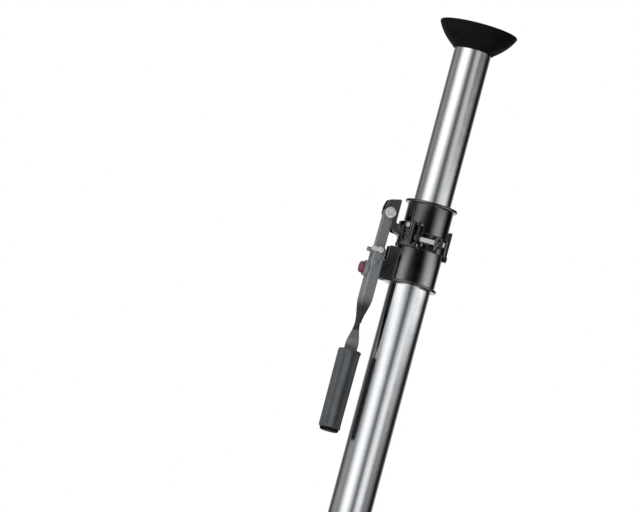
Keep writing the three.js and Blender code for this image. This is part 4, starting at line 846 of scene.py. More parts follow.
@dataclass(frozen=True)
class GripRing:
    """The ring that bites the inner tube: hoop, skirt, yoke, ears, knuckles and nut lug."""

    bore: float = 21.8
    skirt_bore: float = 26.1
    skirt_radius: float = 27.0
    low: float = 1861.2
    high: float = 1870.2
    skirt_low: float = 1852.5
    yoke_radius: float = 29.4
    yoke_high: float = 1879.0
    rear_low: float = 1863.0
    half_spread: float = 52.0
    flank_start: float = 17.5
    flank_slope: float = 0.6  # degrees over which the yoke's foot drops
    band: Pair = (25.1, 28.9)  # radii of the band that ties the yoke to the hoop
    band_spread: float = 44.0
    sink: float = 0.2  # of the band's faces below the yoke's, so that none lie in one plane
    ear_inner: float = 4.6
    ear_outer: float = 7.2
    ear_root: float = -25.5
    ear_low: float = 1864.0
    ear_seat: float = 1874.0
    ear_spine: float = 9.0  # from the pivot in to the ears' upright edge
    ear_peak: float = 1900.0
    brow: Pair = (13.0, 3.5)  # from the peak out and down to the ears' front corner
    boss: float = 6.0
    toe: float = 4.2  # how far the ears' foot stands out from the spine
    window: Pair = (3.5, 2.1)  # half its width and half its height
    window_depth: float = 1.5
    window_over: float = 3.0
    window_angle: float = 36.0
    window_rows: Pair = (1869.0, 1861.4)
    under: float = 1844.0  # a height clear below the ring, where cutters start
    room: float = 26.0
    clear_radius: float = 30.0  # just outside the yoke
    clearance: float = 0.1
    gap: Corner = (1.25, 1849.0, 1874.0)  # half the slit's width, its foot and its top
    heel: Pair = (7.5, 1855.5)  # half the width and the top of the room for the lower collar's ears
    key_room: Corner = (25.6, 6.5, 1874.0)  # inner radius, half width and top of the room for the key
    key_clear: float = 32.0
    pivot_hole: float = 2.8
    swing_hole: Pair = (2.4, 1884.0)  # its radius, and a height clear above the ring
    pinch: float = -104.0
    bolt_reach: float = 31.2
    swing: float = -7.0
    knuckle: Pair = (4.0, 3.6)  # radius and height
    knuckle_root: float = 26.4
    web_root: float = 23.6
    web_tip: float = 35.2
    web_side: float = -15.1
    web_thickness: float = 3.0
    lug_root: float = 20.5
    lug_sides: Pair = (12.0, 17.0)
    lug_corner: float = 2.4
    lug_rows: tuple[Pair, ...] = (  # heights, and how far out the lug reaches there
        (1853.5, 33.6), (1854.4, 35.2), (1856.2, 36.0), (1864.4, 36.0), (1867.0, 35.0), (1868.9, 32.6),
        (1869.8, 29.8))

    def at_pinch(self, skin: Skin) -> Skin:
        """Places a skin that is drawn with X outward and Y sideways at the pinch bolt."""
        return skin.placed(about("Z", self.pinch))

    def hoop(self) -> Skin:
        """Turns the round of the ring.

        Returns:
            The hoop and its skirt.
        """
        return spun(filleted([
            (self.bore, self.low, 0.3), (self.skirt_bore, self.low, 0.4),
            (self.skirt_bore, self.skirt_low, 0.3), (self.skirt_radius, self.skirt_low, 0.4),
            (self.skirt_radius, self.high, 0.7), (self.bore, self.high, 0.3),
        ]), LARGEST)

    def wall(self, inner: float, outer: float, high: float, feet: Sequence[Pair]) -> Skin:
        """Builds a wall round the pole.

        Args:
            inner: radius of its inside.
            outer: radius of its outside.
            high: height of its top.
            feet: angles from the lever's side and the height of its bottom edge at each.

        Returns:
            The wall, closed at both ends.
        """
        stride = 3  # degrees
        stations: list[Pair] = [feet[0]]
        for (start, low), (end, after) in zip(feet, feet[1:]):
            steps = max(1, round(abs(end - start) / stride))
            stations += [(start + (end - start) * step / steps, low + (after - low) * step / steps)
                         for step in range(1, steps + 1)]
        rings = []
        for angle, low in stations:
            section = filleted([(inner, low, 0.5), (outer, low, 1.0), (outer, high, 1.2),
                                (inner, high, 0.5)], 3)
            turn = about("Z", 180 + angle)
            rings.append([turn @ Vector((radius, 0, height)) for radius, height in section])
        return loft(rings)

    def ear_outline(self) -> list[Pair]:
        """Draws the two ears that hold the link's top pin.

        Returns:
            Their outline in X and Z.
        """
        x, z = TOP
        spine, boss = x + self.ear_spine, self.boss
        return filleted([
            (self.ear_root, self.ear_seat, 0), (spine, self.ear_seat, 1.5), (spine, self.ear_peak, 1.6),
            (spine - self.brow[0], self.ear_peak - self.brow[1], 1.6), (x - boss, z + boss, 2.0),
            *arc(x, z, boss, 180, 270, 10), (spine - self.toe, z - boss, 0.6),
            (spine - self.toe, self.ear_low + self.toe, 1.2), (spine, self.ear_low, 1.2),
            (self.ear_root, self.ear_low, 0),
        ])

    def knuckles(self) -> list[Skin]:
        """Builds what carries the swing bolt.

        Returns:
            The two knuckles and the web behind them.
        """
        radius, height = self.knuckle
        side, tip, at = self.web_side, self.web_tip, moved(self.bolt_reach, self.swing)
        skins = []
        for low in (self.yoke_high - height, self.skirt_low):
            skins.append(spun(disc(radius, low, low + height, 0.5), SMALL).placed(at))
            skins.append(block((self.knuckle_root, side, low), (tip, self.swing, low + height)))
        skins.append(block((self.web_root, side, self.skirt_low),
                           (tip, side + self.web_thickness, self.yoke_high)))
        return [self.at_pinch(skin) for skin in skins]

    def lug(self) -> Skin:
        """Builds the lug that the pinch nut bears on.

        Returns:
            The lug in its place on the ring.
        """
        near, far = self.lug_sides
        root, corner = self.lug_root, self.lug_corner
        rings = []
        for height, reach in self.lug_rows:
            outline = filleted([(root, near, 0), (reach, near, corner), (reach, far, corner),
                                (root, far, 0)], 6)
            rings.append([Vector((x, y, height)) for x, y in outline])
        return self.at_pinch(loft(rings))

    def opening(self, side: int, height: float) -> Skin:
        """Shapes one shallow window in the yoke.

        Args:
            side: 1 or -1, which way round from the lever's side.
            height: of the window's middle.

        Returns:
            The window's cutter.
        """
        half, rise = self.window
        low, high = self.yoke_radius - self.window_depth, self.yoke_radius + self.window_over
        return block((low, -half, -rise), (high, half, rise)).placed(
            about("Z", 180 + side * self.window_angle), moved(z=height))

    def cutters(self) -> list[Skin]:
        """Shapes what is cut out of the ring.

        Returns:
            The cutters of the rooms for its neighbours, the slit, the windows and the holes.
        """
        slit, foot, top = self.gap
        heel_half, heel_high = self.heel
        key_in, key_half, key_high = self.key_room
        upper, lower = self.window_rows
        hole, clear = self.swing_hole
        return [
            rod(self.room, self.under, self.low - self.clearance, LARGEST),
            self.at_pinch(block((0, -slit, foot), (self.clear_radius, slit, top))),
            block((-self.clear_radius, -heel_half, self.under), (0, heel_half, heel_high)),
            block((key_in, -key_half, self.under), (self.key_clear, key_half, key_high)),
            self.opening(1, upper), self.opening(1, lower), self.opening(-1, upper),
            cross_hole(self.pivot_hole, *TOP),
            self.at_pinch(rod(hole, self.under, clear).placed(moved(self.bolt_reach, self.swing))),
        ]

    def build(self) -> None:
        """Makes the ring as one casting, and refinishes its pad."""
        outline = self.ear_outline()
        spread, start = self.half_spread, self.flank_start
        reach, tie = self.band_spread, self.rear_low + self.sink
        yoke = self.wall(self.skirt_bore, self.yoke_radius, self.yoke_high, [
            (-spread, self.rear_low), (start, self.rear_low), (start + self.flank_slope, self.skirt_low),
            (spread, self.skirt_low)])
        band = self.wall(*self.band, self.high - self.sink, [(-reach, tie), (reach, tie)])
        skins = [self.hoop(), yoke, band, plate(outline, -self.ear_outer, -self.ear_inner),
                 plate(outline, self.ear_inner, self.ear_outer), *self.knuckles(), self.lug()]
        fitted("grip_ring_casting", "lift_collar", BLACK_ENAMEL, skins, ["grip_ring"],
               cutters=self.cutters(), edge=0.45)
        refinished("ring_pad", BLACK_RUBBER)


@dataclass(frozen=True)
class PinchBolt:
    """The pin, eye bolt and nut that close a grip ring."""

    ring: GripRing
    height: float = 1862.0
    pin_radius: float = 2.1
    pin_ends: Pair = (1851.3, 1880.2)
    eye: Pair = (2.4, 4.6)
    eye_half: float = 3.25
    radius: float = 2.9
    neck: float = 2.6  # from the pin to where the plain shank starts
    plain_end: float = 12.5
    lap: float = 0.2  # of the thread over the plain shank
    tip: float = 23.7
    pitch: float = 1.0
    nut: Corner = (5.4, 3.2, 4.0)  # radius over its corners, bore and height
    nut_seat: float = 17.3

    def build(self) -> None:
        """Makes the three pieces in place."""
        ring, radius = self.ring, self.radius
        at = moved(ring.bolt_reach, ring.swing)
        pin = spun(disc(self.pin_radius, *self.pin_ends, 0.6), 32).placed(at)
        fitted("swing_pin_turned", "lift_collar", BLACK_OXIDE, [ring.at_pinch(pin)], ["swing_pin"])
        eye = spun(washer(*self.eye, self.height - self.eye_half, self.height + self.eye_half, 0.8),
                   SMALL).placed(at)
        away, place = about("X", -90), moved(ring.bolt_reach, 0, self.height)
        plain = spun(disc(radius, self.neck + ring.swing, self.plain_end, 0.2), SMALL).placed(away, place)
        thread = spun(threaded(radius, self.pitch, self.plain_end - self.lap, self.tip),
                      SMALL).placed(away, place)
        fitted("pinch_bolt_eye", "lift_collar", BLACK_OXIDE, [ring.at_pinch(eye)], ["pinch_bolt"])
        fitted("pinch_bolt_turned", "lift_collar", ZINC_PLATE,
               [ring.at_pinch(skin) for skin in (plain, thread)], ["pinch_bolt"])
        nut = hexagon(*self.nut).placed(away, moved(y=self.nut_seat), place)
        fitted("pinch_nut_turned", "lift_collar", BLACK_OXIDE, [ring.at_pinch(nut)], ["pinch_nut"],
               edge=0.2)


def six_sided(radius: float) -> list[Pair]:
    """Returns the corners of a hexagon."""
    return [(radius * math.cos(angle), radius * math.sin(angle))
            for angle in (math.radians(60 * step) for step in range(6))]


def hexagon(radius: float, hole: float, height: float) -> Skin:
    """Makes a hexagonal nut with chamfered corners, standing on its face.

    Args:
        radius: of its corners.
        hole: radius of its hole's corners.
        height: of the nut.

    Returns:
        The nut, with a six-sided hole.
    """
    chamfer_share, face_share = 0.16, 0.9
    face, chamfer = radius * face_share, height * chamfer_share
    rings = [(face, 0.0), (radius, chamfer), (radius, height - chamfer), (face, height), (hole, height),
             (hole, 0.0)]
    points = [Vector((x, y, level)) for reach, level in rings for x, y in six_sided(reach)]
    faces = []
    for row in range(6):
        for step in range(6):
            low, after = row * 6 + step, row * 6 + (step + 1) % 6
            up, up_after = ((row + 1) % 6) * 6 + step, ((row + 1) % 6) * 6 + (step + 1) % 6
            faces.append((low, after, up_after, up))
    return Skin(points, faces)


@dataclass(frozen=True)
class Toggle:
    """The link, and the keepers on the lever."""

    length: float = 41.4
    tilt: float = 0.77
    half_depth: float = 5.5
    half_width: float = 4.2
    eye_radii: Pair = (2.8, 3.5)  # of the top and the bottom
    eye_reach: float = 6.0
    keeper_ends: Pair = (-54.0, -40.5)
    keeper_half: float = 2.5
    keeper_corner: float = 0.8
    keeper_hole: float = 2.3
    keeper_thickness: float = 1.0
    keeper_seat: float = 9.4

    def link(self) -> None:
        """Makes the link arm."""
        outline = [(x, z) for x, z, _ in arc(0, 0, self.half_depth, 0, 180, 20)
                   + arc(0, -self.length, self.half_depth, 180, 360, 20)]
        x, z = TOP
        lean, place = about("Y", self.tilt), moved(x, 0, z)
        arm = plate(outline, -self.half_width, self.half_width).placed(lean, place)
        eyes = [cross_hole(radius, 0, drop, self.eye_reach).placed(lean, place)
                for radius, drop in zip(self.eye_radii, (0, -self.length))]
        fitted("link_arm_pressing", "link", GREY_POWDER, [arm], ["link_arm"], cutters=eyes, edge=0.8)

    def keepers(self) -> None:
        """Makes the plates that keep the toggle pin's heads."""
        x, z = CRANK
        left, right = self.keeper_ends
        low, high, corner = z - self.keeper_half, z + self.keeper_half, self.keeper_corner
        outline = filleted([(left, low, corner), (right, low, corner), (right, high, corner),
                            (left, high, corner)])
        seat, thick = self.keeper_seat, self.keeper_thickness
        for side, near in (("front", -seat - thick), ("back", seat)):
            fitted(f"pin_keeper_{side}_plate", "lever", ZINC_PLATE, [plate(outline, near, near + thick)],
                   [f"pin_keeper_{side}"], cutters=[cross_hole(self.keeper_hole, x, z, 14.0)], edge=0.25)

    def build(self) -> None:
        """Makes the link and the keepers."""
        self.link()
        self.keepers()


class Drive(Enum):
    """The recess in a screw's head."""

    NONE = "none"
    CROSS = "cross"
    SOCKET = "socket"


@dataclass(frozen=True)
class Pin:
    """A headed pin or screw, drawn with its head's seat at zero and its shank below.

    Args:
        node: the CAD node that it replaces.
        body: what it moves with.
        finish: its surface.
        place: where the seat goes, and which way the head faces.
        radius: of the shank.
        length: of the shank below the seat.
        head: the head's radius and height.
        drive: the recess in the head.
        far_head: a second head of this height at the shank's end.
        recess_shares: of the head: the recess's floor in height, its reach and half an arm in radius.
        dome_shares: of the head: where its side ends in height, and its flat top in radius.
    """

    node: str
    body: str
    finish: Finish
    place: Matrix
    radius: float
    length: float
    head: Pair
    drive: Drive = Drive.NONE
    far_head: float = 0.0
    recess_shares: Corner = (0.35, 0.62, 0.14)
    dome_shares: Pair = (0.72, 0.6)

    def recess(self) -> list[Skin]:
        """Shapes the head's recess.

        Returns:
            Its cutters, none for a plain head.
        """
        wide, high = self.head
        depth_share, arm_share, half_share = self.recess_shares
        floor, over = high * depth_share, high + 1
        arm, half = wide * arm_share, wide * half_share
        if self.drive is Drive.SOCKET:
            return [prism(six_sided(arm), floor, over)]
        if self.drive is Drive.CROSS:
            return [block((-arm, -half, floor), (arm, half, over)),
                    block((-half, -arm, floor), (half, arm, over))]
        return []

    def head_profile(self) -> list[Pair]:
        """Draws the slightly domed head.

        Returns:
            Its profile, from its seat up.
        """
        wide, high = self.head
        side_share, top_share = self.dome_shares
        return filleted([(0, 0, 0), (wide, 0, min(0.25, high / 4)), (wide, high * side_share, high * 0.3),
                         (wide * top_share, high, wide * 0.15), (0, high, 0)])

    def build(self) -> None:
        """Makes the pin."""
        shank = spun(disc(self.radius, -self.length, self.head[1] * 0.3, 0.25), 32)
        skins = [shank, spun(self.head_profile(), SMALL)]
        if self.far_head:
            skins.append(spun(disc(self.head[0], -self.length, -self.length + self.far_head), SMALL))
        cutters = [skin.placed(self.place) for skin in self.recess()]
        fitted(f"{self.node}_turned", self.body, self.finish, [skin.placed(self.place) for skin in skins],
               [self.node], cutters=cutters)


@dataclass(frozen=True)
class Lever:
    """The lever: pressed channel, quarter-turned bar, hand grip and end cap, drawn from the fulcrum."""

    cheek_outer: float = 9.1
    sheet: float = 1.8
    web_reach: float = 6.9
    cheek_reach: float = 5.3
    top: float = 10.2
    mouth: float = -3.3
    corner: float = 3.4
    over: float = 2.0  # how far the corner cutters stand off the sheet
    mouth_over: float = 3.0
    holes: Corner = (2.5, 2.3, 1.8)  # radii for the fulcrum, the toggle pin and the pawl's pin
    button_hole: Pair = (2.3, -15.4)  # its radius and height
    button_hole_ends: Pair = (2.0, 10.0)
    channel_end: float = -46.0
    neck: float = -74.0
    steps: int = 24  # along the pinched neck, and along the twist
    bar_x: float = -1.8
    bar_width: float = 14.0
    bar_thickness: float = 2.8
    bar_edge: float = 0.9
    bar_lip: float = 0.8  # how far the channel's cheeks stand over the bar where they end
    bar_last: int = 29  # the bar's last station, inside the grip
    bar_lap: float = 1.5  # how far its first station stands up into the neck
    bar_drop: float = 0.8  # from the neck to where the twist starts
    bar_cut: int = 6  # the station where the neck's painted shade ends
    bar_rest: float = 7.5  # from the grip's bottom up to the bar's end
    twist: float = 27.0
    twist_power: float = 1.7  # how late the turn comes
    grip_top: float = -103.7
    grip_bottom: float = -189.5
    grip_radii: Pair = (12.5, 12.0)
    grip_bore: float = 5.0
    shoulder: tuple[Corner, ...] = (  # drop from the top, what the radius lacks, and share of the ribs
        (0, 2.2, 0), (0.5, 0.9, 0), (1.6, 0.1, 0), (3.0, 0, 0.3), (5.0, 0, 0.8), (6.5, 0, 1))
    heel: tuple[Corner, ...] = (  # the same, as rise from the bottom
        (3.6, 0, 0.6), (1.8, 0.1, 0.2), (0.6, 0.5, 0), (0, 1.2, 0))
    heel_start: float = 5.0
    ribs: int = 7
    rib_depth: float = 2.0
    rib_turn: float = -3.0  # of the first rib, from the front
    cap_radius: float = 10.2
    cap_gap: float = 0.3
    cap_height: float = 3.0

    def section(self, height: float, share: float) -> list[Vector]:
        """Draws the pressed channel's section at one height.

        Args:
            height: of the section.
            share: 0 for the full channel, 1 for the flat bar.

        Returns:
            The section's points, the same count at any height.
        """
        eased = share * share * (3 - 2 * share)
        back, front = self.bar_x - self.bar_thickness / 2, self.bar_x + self.bar_thickness / 2
        outer = mixed(-self.web_reach, back, eased)
        web = mixed(self.sheet - self.web_reach, front, eased)
        edge = mixed(self.cheek_reach, front + self.bar_lip, eased)
        half = mixed(self.cheek_outer, self.bar_width / 2, eased)
        inner = half - self.sheet
        bend, inside, lip = mixed(2.6, 1.2, eased), mixed(1.0, 0.2, eased), mixed(0.4, 0.25, eased)
        outline = filleted([
            (outer, -half, bend), (edge, -half, lip), (edge, -inner, lip), (web, -inner, inside),
            (web, inner, inside), (edge, inner, lip), (edge, half, lip), (outer, half, bend),
        ], 5)
        return [Vector((x, y, height)) for x, y in outline]

    def bar(self, first: int, last: int) -> Skin:
        """Twists the bar between two of its stations.

        Args:
            first: where it starts, below zero for inside the neck.
            last: where it ends.

        Returns:
            That length of the bar.
        """
        half_x, half_y, edge = self.bar_thickness / 2, self.bar_width / 2, self.bar_edge
        outline = filleted([(-half_x, -half_y, edge), (half_x, -half_y, edge), (half_x, half_y, edge),
                            (-half_x, half_y, edge)])
        rings = []
        for step in range(first, last + 1):
            share = min(max(step / self.steps, 0), 1)
            height = self.neck - self.bar_drop - self.twist * step / self.steps
            if step < 0:
                height = self.neck + self.bar_lap
            if step == self.bar_last:
                height = self.grip_bottom + self.bar_rest
            turn = about("Z", 90 * share ** self.twist_power)
            rings.append([turn @ Vector((x, y, height)) + Vector((self.bar_x, 0, 0)) for x, y in outline])
        return loft(rings)

    def trims(self) -> list[Skin]:
        """Shapes what is cut off the pressed channel.

        Returns:
            The cutters that open its top, round its corners and drill its cheeks.
        """
        inner, over, corner = self.cheek_outer - self.sheet, self.over, self.corner
        front, back, level = self.cheek_reach - corner, corner - self.web_reach, self.top - corner
        right, left, above = front + corner + over, back - corner - over, self.top + over
        near = [(right, level)] + [(x, z) for x, z, _ in arc(front, level, corner, 0, 90, 8)]
        near += [(front, above), (right, above)]
        rear = [(back, above)] + [(x, z) for x, z, _ in arc(back, level, corner, 90, 180, 8)]
        rear += [(left, level), (left, above)]
        hole, height = self.button_hole
        places = [(spot[0] - FULCRUM[0], spot[1] - FULCRUM[1]) for spot in (FULCRUM, CRANK, PAWL)]
        return [
            block((-self.web_reach - self.mouth_over, -inner, self.mouth),
                  (0, inner, self.top + self.mouth_over)),
            plate(near, -CLEAR, CLEAR), plate(rear, -CLEAR, CLEAR),
            rod(hole, *self.button_hole_ends).placed(TO_LEVER, moved(z=height)),
            *[cross_hole(radius, x, z) for radius, (x, z) in zip(self.holes, places)],
        ]

    def arm(self) -> None:
        """Makes the channel, its pinched neck and the bar that runs on into the grip."""
        end, drop = self.channel_end, self.neck - self.channel_end
        rings = [self.section(height, 0) for height in (self.top, 0, end / 2, end)]
        taper = [self.section(end + drop * share, share)
                 for share in (step / self.steps for step in range(self.steps + 1))]
        at = moved(FULCRUM[0], 0, FULCRUM[1])
        fitted("lever_arm_pressing", "lever", GREY_POWDER, [loft(rings).placed(at)], ["lever_arm"],
               cutters=[cutter.placed(at) for cutter in self.trims()], edge=0.3)
        cut = self.bar_cut
        # Painted shade: the neck and the top of the bar take the powder that darkens to nearly black
        # downward.
        fitted("lever_neck_pressing", "lever", NECK_SHADE_POWDER,
               [loft(taper).placed(at), self.bar(-1, cut).placed(at)], ["lever_arm"], edge=0.3)
        # Painted shade: the rest of the bar takes the same powder painted darker.
        fitted("lever_bar_twisted", "lever", BAR_SHADE_POWDER, [self.bar(cut, self.bar_last).placed(at)],
               ["lever_arm"], edge=0.3)

    def grip(self) -> None:
        """Makes the ribbed hand grip and its end cap."""
        top, bottom = self.grip_top, self.grip_bottom
        upper, lower = self.grip_radii
        start, end = top - self.shoulder[-1][0], bottom + self.heel_start
        rows = [(top, self.grip_bore, 0)]
        rows += [(top - drop, upper - less, ribbed) for drop, less, ribbed in self.shoulder]
        rows += [(mixed(start, end, step / 6), mixed(upper, lower, step / 6), 1) for step in range(1, 7)]
        rows += [(bottom + rise, lower - less, ribbed) for rise, less, ribbed in self.heel]
        rows += [(bottom, self.grip_bore, 0)]
        count = self.ribs * 16
        rings = []
        for height, radius, ribbed in rows:
            ring = []
            for step in range(count):
                angle = 2 * math.pi * step / count
                across = (angle - math.radians(self.rib_turn - 90)) * self.ribs
                reach = radius - self.rib_depth * ribbed * (0.5 - 0.5 * math.cos(across))
                ring.append(Vector((reach * math.cos(angle) + self.bar_x, reach * math.sin(angle), height)))
            rings.append(ring)
        x, z = FULCRUM
        fitted("hand_grip_moulding", "lever", GREY_VINYL, [loft(rings).placed(moved(x, 0, z))],
               ["hand_grip"])
        high = bottom - self.cap_gap
        low = high - self.cap_height
        cap = spun(filleted([(0, low, 0), (self.cap_radius, low, 2.2), (self.cap_radius, high, 0.3),
                             (0, high, 0)]), 64)
        fitted("grip_end_cap_moulding", "lever", BLACK_RUBBER, [cap.placed(moved(x + self.bar_x, 0, z))],
               ["grip_end_cap"])

    def build(self) -> None:
        """Makes the arm, the grip and the cap."""
        self.arm()
        self.grip()


@dataclass(frozen=True)
class Latch:
    """The release button in its bezel, the coil under it, the pawl and the catch."""

    axis: float = 1819.73
    face: float = 59.2
    radius: float = 6.25
    dish: tuple[Corner, ...] = (  # radius, depth below the face and rounding
        (0, 0.9, 0), (2.0, 0.8, 1.5), (4.4, 0.1, 0.6), (5.4, 0, 0.5))
    shoulder: float = 1.3
    crown: float = 1.8
    skirt_bore: float = 4.7
    skirt_back: float = 54.6
    stem: Pair = (2.0, 49.5)  # its radius, and where it ends
    bezel_radius: float = 9.0
    bezel_draft: float = 1.0
    bezel_back: float = 50.7
    bezel_height: float = 4.2
    bezel_floor: float = 0.9
    bezel_bore: float = 2.3
    bezel_gap: float = 0.3
    coil_radius: float = 3.4
    coil_ends: Pair = (-57.1, -51.9)
    coil_steps: int = 96
    wire: float = 0.3
    turns: int = 3
    pawl_half: float = 1.7
    pawl_hole: float = 1.8
    pawl_hub: float = 2.9
    tail: Corner = (-2.3, 0.1, -11.0)  # its two edges and its foot, from the pawl's pin
    tail_top: float = -2.9
    beak: Corner = (7.8, 10.2, -3.8)  # its two edges and its tip, from the pawl's pin
    beak_arm: Pair = (2.5, -0.8)  # where the arm's underside starts
    beak_top: float = 2.0
    catch: Corner = (-38.5, 3.4, 1825.43)
    catch_roots: Pair = (-27.4, -34.0)
    catch_bend: float = 1.4
    catch_wire: float = 0.9

    def button(self) -> None:
        """Makes the button, dished for the thumb, and its bezel."""
        face, at = self.face, moved(z=self.axis)
        crown, skirt = face - self.crown, self.skirt_back
        stem, end = self.stem
        outline = filleted([
            *[(radius, face - depth, corner) for radius, depth, corner in self.dish],
            (self.radius, face - self.shoulder, 0.7), (self.radius, skirt, 0.2),
            (self.skirt_bore, skirt, 0.2), (self.skirt_bore, crown, 0.2), (stem, crown, 0.2),
            (stem, end, 0.2), (0, end, 0),
        ])
        fitted("release_button_cap", "button", RED_ABS, [spun(outline, 64).placed(TO_LEVER, at)],
               ["release_button"])
        back, wide, inner = self.bezel_back, self.bezel_radius, self.radius + self.bezel_gap
        rim, floor = back + self.bezel_height, back + self.bezel_floor
        ring = filleted([
            (self.bezel_bore, back, 0.2), (wide, back, 0.3), (wide - self.bezel_draft, rim, 0.9),
            (inner, rim, 0.4), (inner, floor, 0.2), (self.bezel_bore, floor, 0.1),
        ])
        fitted("button_bezel_turned", "lever", GREY_POWDER, [spun(ring, 64).placed(TO_LEVER, at)],
               ["button_bezel"])

    def coil(self) -> None:
        """Makes the coil, with a mesh of its own."""
        (start, end), radius, axis = self.coil_ends, self.coil_radius, self.axis
        lead = 2 * self.wire
        path = [Vector((start, radius, axis))]
        for step in range(self.coil_steps + 1):
            share = step / self.coil_steps
            angle = share * self.turns * 2 * math.pi
            path.append(Vector((start + lead + (end - start - 2 * lead) * share,
                                radius * math.cos(angle), axis + radius * math.sin(angle))))
        path.append(Vector((end, radius, axis)))
        coil = fitted("button_spring_coil", "lever", DRAWN_STEEL, [swept(path, self.wire, 10)],
                      ["button_spring"])
        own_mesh(coil)

    def pawl(self) -> None:
        """Makes the pawl."""
        x, z = PAWL
        hub, low, (rear, fore, foot) = self.pawl_hub, self.tail_top, self.tail
        near, far, tip = self.beak
        outline = filleted([
            (rear, foot, 0.5), (fore, foot, 0.5), (fore, low, 0.5), (*self.beak_arm, 0.4),
            (near, self.beak_arm[1], 0.3), (near, tip, 0.4), (far, tip, 0.4), (far, self.beak_top, 0.8),
            (hub, self.beak_top, 0.4),
            *arc(0, 0, hub, 60, 180, 12), (rear, low, 0.4),
        ])
        shape = plate(outline, -self.pawl_half, self.pawl_half).placed(moved(x, 0, z))
        fitted("latch_pawl_pressing", "pawl", DRAWN_STEEL, [shape], ["latch_pawl"],
               cutters=[cross_hole(self.pawl_hole, x, z, 4, 24)], edge=0.25)

    def staple(self) -> None:
        """Makes the wire staple that the pawl hooks."""
        x, y, z = self.catch
        bend = self.catch_bend
        path = [Vector((root, -y, z)) for root in self.catch_roots]
        path += [Vector((x + bend + bend * math.cos(angle), -y + bend + bend * math.sin(angle), z))
                 for angle in (math.radians(270 - 15 * step) for step in range(7))]
        path += [Vector((point.x, -point.y, z)) for point in reversed(path)]
        fitted("catch_spring_wire", "base_pole", DRAWN_STEEL, [swept(path, self.catch_wire, 16)],
               ["catch_spring"])

    def build(self) -> None:
        """Makes all the latch's pieces."""
        self.button()
        self.coil()
        self.pawl()
        self.staple()


def on_front(spot: Pair, face: float) -> Matrix:
    """Places a head that faces the front, at a spot in X and Z."""
    return moved(spot[0], -face, spot[1]) @ TO_FRONT


def on_back(spot: Pair, face: float) -> Matrix:
    """Places a head that faces the back, at a spot in X and Z."""
    return moved(spot[0], face, spot[1]) @ TO_BACK


def off_pole(angle: float, height: float, seat: float) -> Matrix:
    """Places a head that faces away from the pole's middle."""
    return moved(z=height) @ about("Z", angle) @ moved(x=seat) @ TO_KEY


def fasteners() -> list[Pin]:
    """Places every headed pin and screw.

    Returns:
        The pins and screws, ready to build.
    """
    cheek = 9.4  # the outside of the lever's cheeks
    crossed = Drive.CROSS
    pins = [Pin("top_pin", "lift_collar", ZINC_PLATE, on_front(TOP, 7.5), radius=2.5, length=18.3,
                head=(6.0, 2.2), drive=Drive.SOCKET)]
    pins += [Pin(f"fulcrum_pin_{side}", "base_pole", GREY_POWDER, place, radius=2.2, length=4.8,
                 head=(3.5, 1.0))
             for side, place in (("front", on_front(FULCRUM, cheek)), ("back", on_back(FULCRUM, cheek)))]
    pins += [
        Pin("toggle_pin", "lever", ZINC_PLATE, on_front(CRANK, 10.7), radius=2.0, length=22.7,
            head=(3.3, 1.3), far_head=1.3),
        Pin("pawl_pin", "lever", GREY_POWDER, on_front(PAWL, cheek), radius=1.5, length=19.6,
            head=(2.4, 0.8), far_head=0.8),
    ]
    pins += [Pin(f"yoke_screw_{side}", "lift_collar", ZINC_PLATE, off_pole(angle, 1874.7, 29.7),
                 radius=1.5, length=7.5, head=(2.6, 1.2), drive=crossed)
             for side, angle in (("front", 216), ("back", 144))]
    pins += [Pin(f"collar_screw_{side}", "base_pole", BLACK_OXIDE, off_pole(angle, 1826.8, 25.8),
                 radius=2.0, length=3.0, head=(3.4, 1.8), drive=crossed)
             for side, angle in (("right", 62), ("left", 118))]
    pins += [Pin("key_screw", "base_pole", BLACK_OXIDE, off_pole(0, 1852.25, 29.1),
                 radius=2.0, length=6.3, head=(3.4, 1.8), drive=crossed)]
    return pins


# Studio, in metres


def bearing(degrees: float) -> Vector:
    """Returns the level direction at an angle to the right of the camera's, seen from the pole."""
    turn = math.radians(AZIMUTH + degrees)
    return Vector((math.sin(turn), -math.cos(turn), 0))


def seen_rays(tree: bpy.types.NodeTree) -> bpy.types.NodeSocket:
    """Tells the rays that show a surface from those that light it.

    Args:
        tree: of the material.

    Returns:
        A factor that is one for straight and mirrored rays and those through glass.
    """
    path = add(tree, "ShaderNodeLightPath")
    camera, glossy, through = (path.outputs[f"Is {kind} Ray"]
                               for kind in ("Camera", "Glossy", "Transmission"))
    either = add(tree, "ShaderNodeMath", {}, {0: camera, 1: glossy}, operation="MAXIMUM").outputs[0]
    return add(tree, "ShaderNodeMath", {}, {0: either, 1: through}, operation="MAXIMUM").outputs[0]


@dataclass(frozen=True)
class Glow:
    """A soft patch of light in the tent.

    Args:
        middle: its bearing, in degrees to the right of the camera.
        spread: from its middle to where it ends, in degrees.
        level: of its middle, where 1 is white.
    """

    middle: float
    spread: float
    level: float

    def at(self, degrees: float) -> float:
        """Returns how bright it is at a bearing."""
        off = abs((degrees - self.middle + 180) % 360 - 180)
        return self.level * math.cos(math.pi / 2 * min(1, off / self.spread)) ** 2


